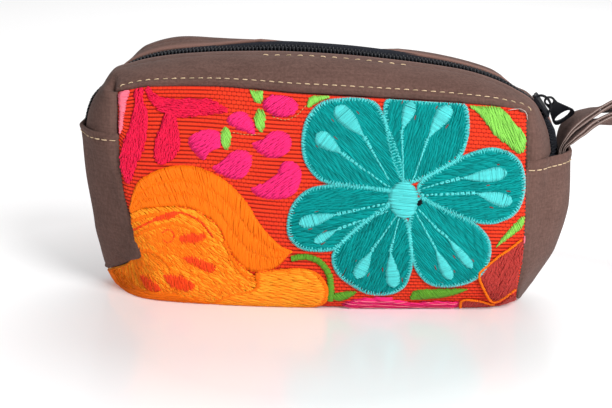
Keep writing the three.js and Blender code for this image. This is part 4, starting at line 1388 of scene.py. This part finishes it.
class POUCH_OT_topstitch(bpy.types.Operator):
    """Cream top-stitching on bands and hems"""
    bl_idname = "pouch.topstitch"
    bl_label = "Top-stitching"

    def execute(self, context):
        sizes, colours = settings(context)
        thread = floss_material("cream_thread", linear(colours.cream), linear(colours.cream, 0.5), 0.7)
        rng = np.random.default_rng(11)
        lines = {}
        for name, sign in (("front", -1), ("back", 1)):
            grid, out, edge, zip_edge = band_grid(sign, sizes)
            on_top = between(BAND_PLACES, SEAM_STITCH_ROWS)
            reach = stitch_reach(BAND_PLACES[on_top], sizes.seam_stitch / MM)
            lines[f"{name}_seam_stitches"] = line_at(grid[on_top], out[on_top], edge[on_top], reach)
            if sign < 0:
                shown = between(BAND_PLACES, ZIP_STITCH_ROWS)
                reach = np.full(shown.sum(), sizes.zip_stitch / MM)
                lines["zip_edge_stitches"] = line_at(grid[shown], out[shown], zip_edge[shown], reach)
        for side in ("left", "right"):
            turned = [np.swapaxes(part, 0, 1)[2:-2] for part in gusset_grid(side, sizes)]
            reach = np.full(len(turned[0]), HEM_STITCH[side])
            lines[f"{side}_hem_stitches"] = line_at(*turned, reach)
        for name, (line, ups) in lines.items():
            pitch = sizes.zip_pitch if name == "zip_edge_stitches" else sizes.stitch_pitch
            length = sizes.hem_length if name.endswith("hem_stitches") else sizes.stitch_length
            points, faces = dashes(line, ups, pitch / MM, length / MM)
            count = len(faces[1]) // 2
            tones = np.repeat(rng.random(count), len(points) // count)
            make_piece(name, points, faces, thread, marks={"tone": tones})
        return {"FINISHED"}


# Columns of the zip tape: before the coil, the raised welt behind it, and the rest of the back
TAPE_FRONT = (-12, -10.5, -9, -7.5, -6.2, -5.2, -4.4, -3.8, -3.3, -2.2, -1.1, 0, 1.1, 2.2)
TAPE_WELT = (2.9, 3.25, 3.5, 3.75, 4.0, 4.25, 4.5)
TAPE_BACK = (5.2, 6.2, 7.5, 9, 10.5, 12)
WELT_MIDDLE = 3.85
# Distance from the zip's middle and how deep the tape lies below the ridge there; how much deeper its
# back part lies
TAPE_DEEP = ((3.3, 5.2, 8, 12), (2.9, 2.1, 2.6, 3.9))
TAPE_BACK_DEEPER = 0.9
# How far the tape and the coil run on behind both hems
TAPE_RUN_ON = 8
COIL_RUN_ON = 4
# One turn of the coil: out across the tape, over the top to the middle, round the head and back under.
# Distance across, depth below the ridge, and the way along as a part of the pitch
COIL_TURN = np.array((
    (2.75, 2.35, 0.1), (2.85, 1.2, 0.05), (2.4, 0.45, 0.0), (1.2, 0.3, -0.05),
    (0.1, 0.32, 0.0), (-0.62, 0.75, 0.15), (-0.55, 1.6, 0.3), (0.3, 2.2, 0.35),
))
COIL_RADIUS = 0.33
COIL_HEAD_RADIUS = 0.4


class POUCH_OT_zip(bpy.types.Operator):
    """Zip tape, interlocked coil turns, and the finish of slider and pull"""
    bl_idname = "pouch.zip"
    bl_label = "Zip"

    def execute(self, context):
        sizes, colours = settings(context)
        tape = plain_material("zip_tape_cloth", linear(colours.black), 0.85, 1600.0, fleck=0.5)
        coil = plain_material("zip_coil_nylon", linear(colours.black, 0.9), 0.6, 500.0)
        enamel = plain_material("black_enamel", linear(colours.black, 0.6), 0.4, 300.0)
        for node in ("zip_slider", "zip_pull"):
            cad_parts[node].data.materials.clear()
            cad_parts[node].data.materials.append(enamel)
        self.make_tape(tape)
        self.make_coil(coil, sizes.coil_pitch / MM)
        return {"FINISHED"}

    def make_tape(self, material):
        hidden = np.linspace(0, TAPE_RUN_ON, 8)
        shown = np.linspace(0, LAST_ROW, 240)
        places = np.concatenate([-hidden[:0:-1], shown, LAST_ROW + hidden[1:]])
        across = np.array(TAPE_FRONT + TAPE_WELT + TAPE_BACK)
        deep = np.interp(np.abs(across), *TAPE_DEEP)
        drop = np.maximum(np.interp(places, *BACK_DROP), 0)[:, None]
        deep = deep + (drop + TAPE_BACK_DEEPER) * smooth_step(across - TAPE_WELT[0], 1.5)
        raised = np.exp(-np.abs((across - WELT_MIDDLE) / 0.55) ** 3)
        deep = deep + (np.interp(places, *WELT_DEEP)[:, None] - deep) * raised
        grid = ribbon(places, across, deep)
        points, faces = rounded_wall(grid, TAPE_THICK)
        fits("zip_tape", points)
        make_piece("zip_tape_cloth", points, faces, material, ["zip_tape"])

    def make_coil(self, material, pitch):
        places = np.linspace(-COIL_RUN_ON, LAST_ROW + COIL_RUN_ON, 1000)
        far = lengths_along(ridge_point(places, 0.0))
        turn_y, turn_deep, turn_along = COIL_TURN.T
        loops, ups = [], []
        for side in (-1, 1):
            starts = np.arange(pitch, far[-1] - pitch, pitch) + (0.5 * pitch if side > 0 else 0)
            at = np.interp(starts[:, None] + turn_along[None, :] * pitch, far, places)
            across = np.broadcast_to(side * turn_y, at.shape)
            points = ridge_point(at, across, turned_zip=True)
            loops.append(points + inward(points * MIDDLE_PLANE) * turn_deep[None, :, None])
            ups.append(unit(ridge_point(at + 0.01, across, turned_zip=True) - points))
        paths, up = np.concatenate(loops), np.concatenate(ups)
        radii = np.full(paths.shape[:2] + (2,), COIL_RADIUS)
        radii[:, 4:6, :] = COIL_HEAD_RADIUS
        points, faces = tube_mesh(paths, up, radii, 6)
        faces = outward_faces(points, faces)
        make_piece("zip_coil_turns", points, faces, material, ["zip_coil"])


STRAP_STATIONS = 320
PLIES = 2
# Part of the thickness that the plies fill, and how far their edges keep inside the strap's full width
PLY_FULL = 0.84
PLY_INSIDE = 0.25
# A quarter of a ply's ring, its edge rounded: parts of the half breadth and of the half thickness
PLY_QUARTER = ((-1, 0.0), (-0.985, 0.5), (-0.965, 0.85), (-0.93, 1), (-0.5, 1), (0, 1))


class POUCH_OT_strap(bpy.types.Operator):
    """Folded wrist strap, its plies showing along the edges"""
    bl_idname = "pouch.strap"
    bl_label = "Wrist strap"

    def execute(self, context):
        colours = settings(context)[1]
        wear_and_highlight = linear(colours.strap_edge)
        # The strap's brown is the bands' brown at nine tenths, a darker copy of the same cloth: painted
        # shade.
        cloth = nap_material("strap_cloth", linear(colours.brown, 0.9), linear(colours.brown_pale), wear_and_highlight)
        middle, face, breadth, thick = strap_lines(STRAP_STATIONS)
        far = lengths_along(middle)
        upper = PLY_QUARTER + tuple((-b, h) for b, h in PLY_QUARTER[-2::-1])
        ring = upper + tuple((b, -h) for b, h in upper[-2:0:-1])
        plies = []
        for ply in range(PLIES):
            centre = (ply - (PLIES - 1) / 2) / PLIES
            half_thick = thick / PLIES / 2 * PLY_FULL
            uneven = 0.22 * np.sin(far / 6 + 2.1 * ply) + 0.15 * np.sin(far / 2.3 + ply)
            half = STRAP_WIDTH / 2 - PLY_INSIDE + uneven
            bow = 0.12 * np.sin(far / 11 + ply)
            lines = [
                middle + breadth * (b * half)[:, None]
                + face * (centre * thick + h * half_thick + bow * (1 - b * b))[:, None]
                for b, h in ring
            ]
            plies.append(np.stack(lines, 1).reshape(-1, 3))
        points = np.vstack(plies)
        fits("wrist_strap", points)
        first = np.arange(len(ring))[None, ::-1]
        ends = np.vstack([first, first[:, ::-1] + (STRAP_STATIONS - 1) * len(ring)])
        shifts = np.arange(PLIES) * len(plies[0])
        quads = ring_quads(STRAP_STATIONS, len(ring))
        faces = [np.vstack([part + shift for shift in shifts]) for part in (quads, ends)]
        edge = [0.85 if h == 0 else 0.08 if abs(b) > 0.9 else 0.0 for b, h in ring]
        marks = {"edge": np.tile(edge, STRAP_STATIONS * PLIES)}
        faces = outward_faces(points, faces)
        make_piece("strap_plies", points, faces, cloth, ["wrist_strap"], marks=marks)
        return {"FINISHED"}


def petal_angle(outline):
    reach = outline.mean(0) - np.array(FLOWER_CENTRE)
    return math.atan2(reach[1], reach[0])


class POUCH_OT_teal_flower(bpy.types.Operator):
    """Large flower: filled petals, edging, stamens and middle button"""
    bl_idname = "pouch.teal_flower"
    bl_label = "Teal flower"

    def execute(self, context):
        sizes, colours = settings(context)
        pitch, edge_pitch = sizes.floss_pitch / MM, sizes.edge_pitch / MM
        rng = np.random.default_rng(3)
        fills, edging = [], []
        for points in TEAL_PETALS.values():
            outline = closed_curve(points, 0.5)
            fills.append(underlay(outline, petal_angle(outline), rng))
            fills.append(hatch(outline, petal_angle(outline), pitch, 5.5, rng))
            edging.append((*edge_stitches(closed_curve(points, edge_pitch), 0.75, 1.6, rng), 0.5))
        for head, drop_end, line_end, half in STAMENS:
            edging.append(satin(*drop_rails(head, drop_end, half, pitch), rng, base=0.62, puff=0.3))
            neck_end = np.array(drop_end) + 0.45 * (np.array(line_end) - np.array(drop_end))
            neck = leaf_rails([(*drop_end, 0.3 * half), (*neck_end, 0.3)], 2.2 * pitch)
            edging.append(satin(*neck, rng, base=0.62, puff=0.15))
            for offset in (-0.35, 0.35):
                bent = [(drop_end[0], drop_end[1] + offset), line_end]
                edging.append(running_line(bent, 1.2, 0.7, rng, base=0.66))
        button = closed_curve(FLOWER_BUTTON, 0.5)
        edging.append(hatch(button, 0.05, pitch, 14.0, rng, steps=8, base=0.6, puff=0.75))
        flecks = []
        for head, drop_end, _, half in STAMENS:
            axis = np.array(drop_end) - np.array(head)
            side = np.array([-axis[1], axis[0]]) / np.linalg.norm(axis)
            for part, reach in FLECKS:
                middle = np.array(head) + axis * part + side * half * reach + rng.normal(0, 0.3, 2)
                flecks.append((middle, middle + unit(axis) * rng.uniform(1.2, 2.6)))
        starts, ends = np.swapaxes(flecks, 0, 1)
        peeks = [(*satin(starts, ends, rng, base=0.48, puff=0.1), 0.4)]
        teal = floss_material("teal_floss", linear(colours.teal), linear(colours.teal, 0.5), 0.6)
        cyan = floss_material("cyan_floss", linear(colours.cyan), linear(colours.cyan, 0.7))
        # The red cloth seen between the stitches is drawn at half its brightness, down to the groove colour:
        # painted shade.
        ground = floss_material("red_peeks", linear(colours.red, 0.5), linear(colours.red_gap_shade))
        stitched_piece("teal_petals", fills, teal, rng)
        stitched_piece("cyan_edging", edging, cyan, rng)
        stitched_piece("red_flecks", peeks, ground, rng)
        return {"FINISHED"}


class POUCH_OT_orange_flower(bpy.types.Operator):
    """Orange flower at the lower left, wrapping under the base"""
    bl_idname = "pouch.orange_flower"
    bl_label = "Orange flower"

    def execute(self, context):
        sizes, colours = settings(context)
        pitch = sizes.floss_pitch / MM
        rng = np.random.default_rng(5)
        outer, inner = open_curve(ARCH_OUTER, 0.1), open_curve(ARCH_INNER, 0.1)
        count = int(lengths_along(outer)[-1] / (0.8 * pitch))
        outer, inner = evenly(outer, count), evenly(inner, count)
        first = outer + (inner - outer) * 0.36 + rng.normal(0, 0.4, (count, 2))
        second = outer + (inner - outer) * 0.68 + rng.normal(0, 0.4, (count, 2))
        lobe = closed_curve(FLOWER_LOBE, 0.5)
        heart = closed_curve(FLOWER_HEART, 0.5)
        core = closed_curve(HEART_CORE, 0.4)
        hem = closed_curve(FLOWER_HEM, 0.5)
        orange = [
            satin_underlay(outer, inner, rng),
            satin(outer, first, rng, base=0.35, puff=0.3),
            satin(first + (outer - first) * 0.1, second, rng, base=0.35, puff=0.3),
            satin(second + (first - second) * 0.1, inner, rng, base=0.35, puff=0.3),
            edge_stitches(closed_curve(FLOWER_LOBE, pitch), 1.2, 2.6, rng),
            hatch(heart, 0.8, 1.5, 2.6, rng, base=0.28, puff=0.4, ragged=0.5, inset=1.0),
            hatch(core, 0.9, pitch, 3.0, rng, base=0.42, puff=0.25, ragged=0.5),
            underlay(hem, -0.3, rng),
            hatch(hem, -0.3, pitch, 6.0, rng, base=0.45, puff=0.4),
        ]
        for points in HEART_FOLDS:
            orange.append(satin(*even_rails(points, 0.75, pitch), rng, base=0.5, puff=0.3))
        amber = [
            underlay(heart, 0.5, rng), hatch(heart, 0.5, pitch, 4.5, rng, puff=0.4, ragged=0.4),
            underlay(lobe, 0.12, rng), hatch(lobe, 0.12, pitch, 6.0, rng, puff=0.6),
        ]
        scarlet = []
        for blob in HEART_BLOBS:
            scarlet.append(hatch(closed_curve(blob, 0.4), 1.4, pitch, 8.0, rng, base=0.6, puff=0.35))
        for points in HEART_LINES:
            scarlet.append(satin(*even_rails(points, 0.45, pitch), rng, base=0.55, puff=0.15))
        scarlet.append((*running_line(ARCH_INNER[3:], 0.8, 0.7, rng, base=0.6), 0.35))
        pieces = (
            ("orange_petals", orange, linear(colours.orange), linear(colours.orange, 0.82)),
            ("amber_heart", amber, linear(colours.amber), linear(colours.orange)),
            ("scarlet_blobs", scarlet, linear(colours.scarlet), linear(colours.scarlet, 0.7)),
        )
        for name, groups, lit, deep in pieces:
            stitched_piece(name, groups, floss_material(f"{name}_floss", lit, deep), rng)
        return {"FINISHED"}


class POUCH_OT_sprays(bpy.types.Operator):
    """Small petals, leaves, stems and thin lines around the flowers"""
    bl_idname = "pouch.sprays"
    bl_label = "Petals and leaves"

    def execute(self, context):
        sizes, colours = settings(context)
        pitch = sizes.floss_pitch / MM
        rng = np.random.default_rng(7)

        def filled(outlines, angle, puff=0.5, stitch=9.0, ragged=0.2):
            groups = []
            for points in outlines:
                outline = closed_curve(points, 0.4)
                groups.append(underlay(outline, angle, rng))
                groups.append(hatch(outline, angle, pitch, stitch, rng, puff=puff, ragged=ragged))
            return groups

        def leaf_outline(rows):
            one, other = leaf_rails(rows, 2.0)
            return np.vstack([one, other[::-1]])

        pink = filled(PINK_PETALS, -0.7, puff=0.6, ragged=0.12) + filled([PINK_STRIP], 0.1)
        green = filled(GREEN_LEAVES, 1.1)
        dark_green = filled(DARK_GREEN_LEAVES, 0.9) + [satin(*even_rails(GREEN_STEM, 1.3, pitch), rng)]
        crimson = []
        for rows, angle in zip(CRIMSON_LEAVES, CRIMSON_ANGLES):
            crimson += filled([leaf_outline(rows)], angle, puff=0.55, stitch=1.0, ragged=0.4)
        maroon = filled(MAROON_PETALS, 1.9, puff=0.3, stitch=2.0, ragged=0.6)
        maroon_edge = []
        for points in MAROON_EDGES:
            maroon_edge.append(satin(*even_rails(points, 0.55, pitch), rng, base=0.5, puff=0.25))
        lines = [(*running_line(points, 0.9, 0.5, rng, base=0.2), 0.32) for points in TAN_LINES]
        frayed = [(*running_line(FRAYED_EDGE, 3.5, -1.6, rng, base=0.5), 0.13) for _ in range(2)]
        strip = closed_curve(PINK_STRIP, 0.4)
        streaks = hatch(strip, 0.05, 2.4, 7.0, rng, base=0.5, puff=0.45, inset=0.5)
        loose_end = (*running_line(LOOSE_END, 4.0, 1.0, rng, base=0.9), 0.7)
        blush = filled([PALE_STRIP], 0.2, puff=0.3) + [streaks, loose_end]
        # The snag hole is filled with a raised patch of black threads: painted shade for the dark inside the
        # hole.
        snag = [hatch(closed_curve(SNAG_HOLE, 0.2), 0.4, 0.3, 6.0, rng, base=0.75, puff=0.1)]
        pieces = (
            ("pink_petals", pink, colours.pink, 0.78),
            ("leaf_greens", green, colours.green, 0.7),
            ("stem_greens", dark_green, colours.green_dark, 0.75),
            ("crimson_leaves", crimson, colours.crimson, 0.62),
            ("maroon_petals", maroon, colours.maroon, 0.7),
            ("maroon_edging", maroon_edge, colours.orange, 0.8),
            ("blush_strip", blush, colours.blush, 0.8),
            ("tan_lines", lines, colours.tan, 0.6),
            ("frayed_edge", frayed, colours.fray, 0.8),
            ("snag_hole", snag, colours.black, 0.5),
        )
        for name, groups, colour, deep in pieces:
            floss = floss_material(f"{name}_floss", linear(colour), linear(colour, deep))
            stitched_piece(name, groups, floss, rng)
        return {"FINISHED"}


# Lights: place and size in metres, power in watts, and the point that all of them face
LIGHTS = (
    ("key", (0.65, -0.8, 0.78), 0.6, 17.2),
    ("fill", (-0.7, -0.6, 0.6), 0.7, 0.4),
    ("back", (0.1, 0.8, 0.8), 0.8, 5),
)
LIGHT_AIM = np.array([0.0, 0.0, 0.05])
WORLD_STRENGTH = 0.25
# The floor: its half width and the ring round the pouch over which its glow grows, in metres, and the
# strength of the glow inside and outside that ring
FLOOR_HALF = 6.0
GLOW_MIDDLE = (0, -0.05, 0)
GLOW_RING = (0.07, 0.18)
GLOW = (0.09, 0.45)
# The camera: azimuth, elevation and roll in degrees, its target in millimetres, its distance in metres
CAMERA_TURNS = (3.4, 15.0, -1.5)
CAMERA_TARGET = np.array([-6.3, 0.0, 36.8])
CAMERA_DISTANCE = 0.64
CAMERA_LENS = 90.9


class POUCH_OT_stage(bpy.types.Operator):
    """Pale floor, soft studio lights and the camera"""
    bl_idname = "pouch.stage"
    bl_label = "Stage"

    def execute(self, context):
        scene = context.scene
        scene.view_settings.view_transform = "Standard"
        self.add_floor(scene)
        world = bpy.data.worlds.new("studio")
        scene.world = world
        world.use_nodes = True
        background = world.node_tree.nodes["Background"]
        fill(world.node_tree, background, {"Color": (1, 1, 1, 1), "Strength": WORLD_STRENGTH})
        for light in LIGHTS:
            self.add_light(scene, *light)
        self.add_camera(scene)
        return {"FINISHED"}

    def add_floor(self, scene):
        mesh = bpy.data.meshes.new("stage_floor")
        corners = [(x * FLOOR_HALF, y * FLOOR_HALF, 0) for x, y in ((-1, -1), (1, -1), (1, 1), (-1, 1))]
        mesh.from_pydata(corners, [], [(0, 1, 2, 3)])
        floor = bpy.data.objects.new("stage_floor", mesh)
        scene.collection.objects.link(floor)
        material, tree, surface = new_material("pale_floor")
        places = {0: object_place(tree), 1: GLOW_MIDDLE}
        away = put(tree, "ShaderNodeVectorMath", places, operation="DISTANCE").outputs["Value"]
        fill(tree, surface, {
            "Base Color": (0.89, 0.885, 0.89, 1), "Roughness": 0.2, "Specular IOR Level": 0.75,
            "Emission Color": (1, 1, 1, 1), "Emission Strength": spread(tree, away, *GLOW_RING, *GLOW),
        })
        mesh.materials.append(material)

    def add_light(self, scene, name, place, size, watts):
        lamp = bpy.data.lights.new(name, "AREA")
        lamp.shape = "DISK"
        lamp.size = size
        lamp.energy = watts
        light = bpy.data.objects.new(name, lamp)
        scene.collection.objects.link(light)
        z = -unit(LIGHT_AIM - np.array(place))
        x = unit(np.cross([0.0, 0.0, 1.0], z))
        light.matrix_world = turned_matrix(x, np.cross(z, x), z, np.array(place))

    def add_camera(self, scene):
        azimuth, elevation, roll = np.radians(CAMERA_TURNS)
        level = np.array([math.cos(azimuth), math.sin(azimuth), 0.0])
        back = np.array([
            math.sin(azimuth) * math.cos(elevation),
            -math.cos(azimuth) * math.cos(elevation),
            math.sin(elevation),
        ])
        rise = np.cross(back, level)
        right = math.cos(roll) * level - math.sin(roll) * rise
        up = math.sin(roll) * level + math.cos(roll) * rise
        lens = bpy.data.cameras.new("camera")
        lens.sensor_width = 36.0
        lens.lens = CAMERA_LENS
        lens.clip_start = 0.01
        camera = bpy.data.objects.new("camera", lens)
        scene.collection.objects.link(camera)
        camera.matrix_world = turned_matrix(right, up, back, CAMERA_TARGET * MM + back * CAMERA_DISTANCE)
        scene.camera = camera


def turned_matrix(right, up, back, place):
    """Matrix of a light or a camera, which look along their own -Z."""
    rows = np.eye(4)
    rows[:3] = np.stack([right, up, back, place], 1)
    return Matrix(rows.tolist())


class POUCH_PT_panel(bpy.types.Panel):
    """Sidebar list of the pouch's pieces and settings"""
    bl_label = "Embroidered pouch"
    bl_space_type = "VIEW_3D"
    bl_region_type = "UI"
    bl_category = "Pouch"

    def draw(self, context):
        layout = self.layout
        for operator in OPERATORS:
            layout.operator(operator.bl_idname)
        for group in settings(context):
            column = layout.column()
            for name in group.__annotations__:
                column.prop(group, name)


OPERATORS = (
    POUCH_OT_stage, POUCH_OT_panel, POUCH_OT_bands, POUCH_OT_gussets, POUCH_OT_topstitch, POUCH_OT_zip,
    POUCH_OT_strap, POUCH_OT_teal_flower, POUCH_OT_orange_flower, POUCH_OT_sprays,
)
CLASSES = (PouchSizes, PouchColours, *OPERATORS, POUCH_PT_panel)


def register():
    for cls in CLASSES:
        bpy.utils.register_class(cls)
    bpy.types.Scene.pouch_sizes = PointerProperty(type=PouchSizes)
    bpy.types.Scene.pouch_colours = PointerProperty(type=PouchColours)


def unregister():
    del bpy.types.Scene.pouch_colours
    del bpy.types.Scene.pouch_sizes
    for cls in reversed(CLASSES):
        bpy.utils.unregister_class(cls)


def main():
    register()
    bpy.ops.pouch.stage()
    bpy.ops.pouch.panel()
    bpy.ops.pouch.bands()
    bpy.ops.pouch.gussets()
    bpy.ops.pouch.topstitch()
    bpy.ops.pouch.zip()
    bpy.ops.pouch.strap()
    bpy.ops.pouch.teal_flower()
    bpy.ops.pouch.orange_flower()
    bpy.ops.pouch.sprays()
    bpy.context.view_layer.update()


if __name__ == "__main__":
    main()
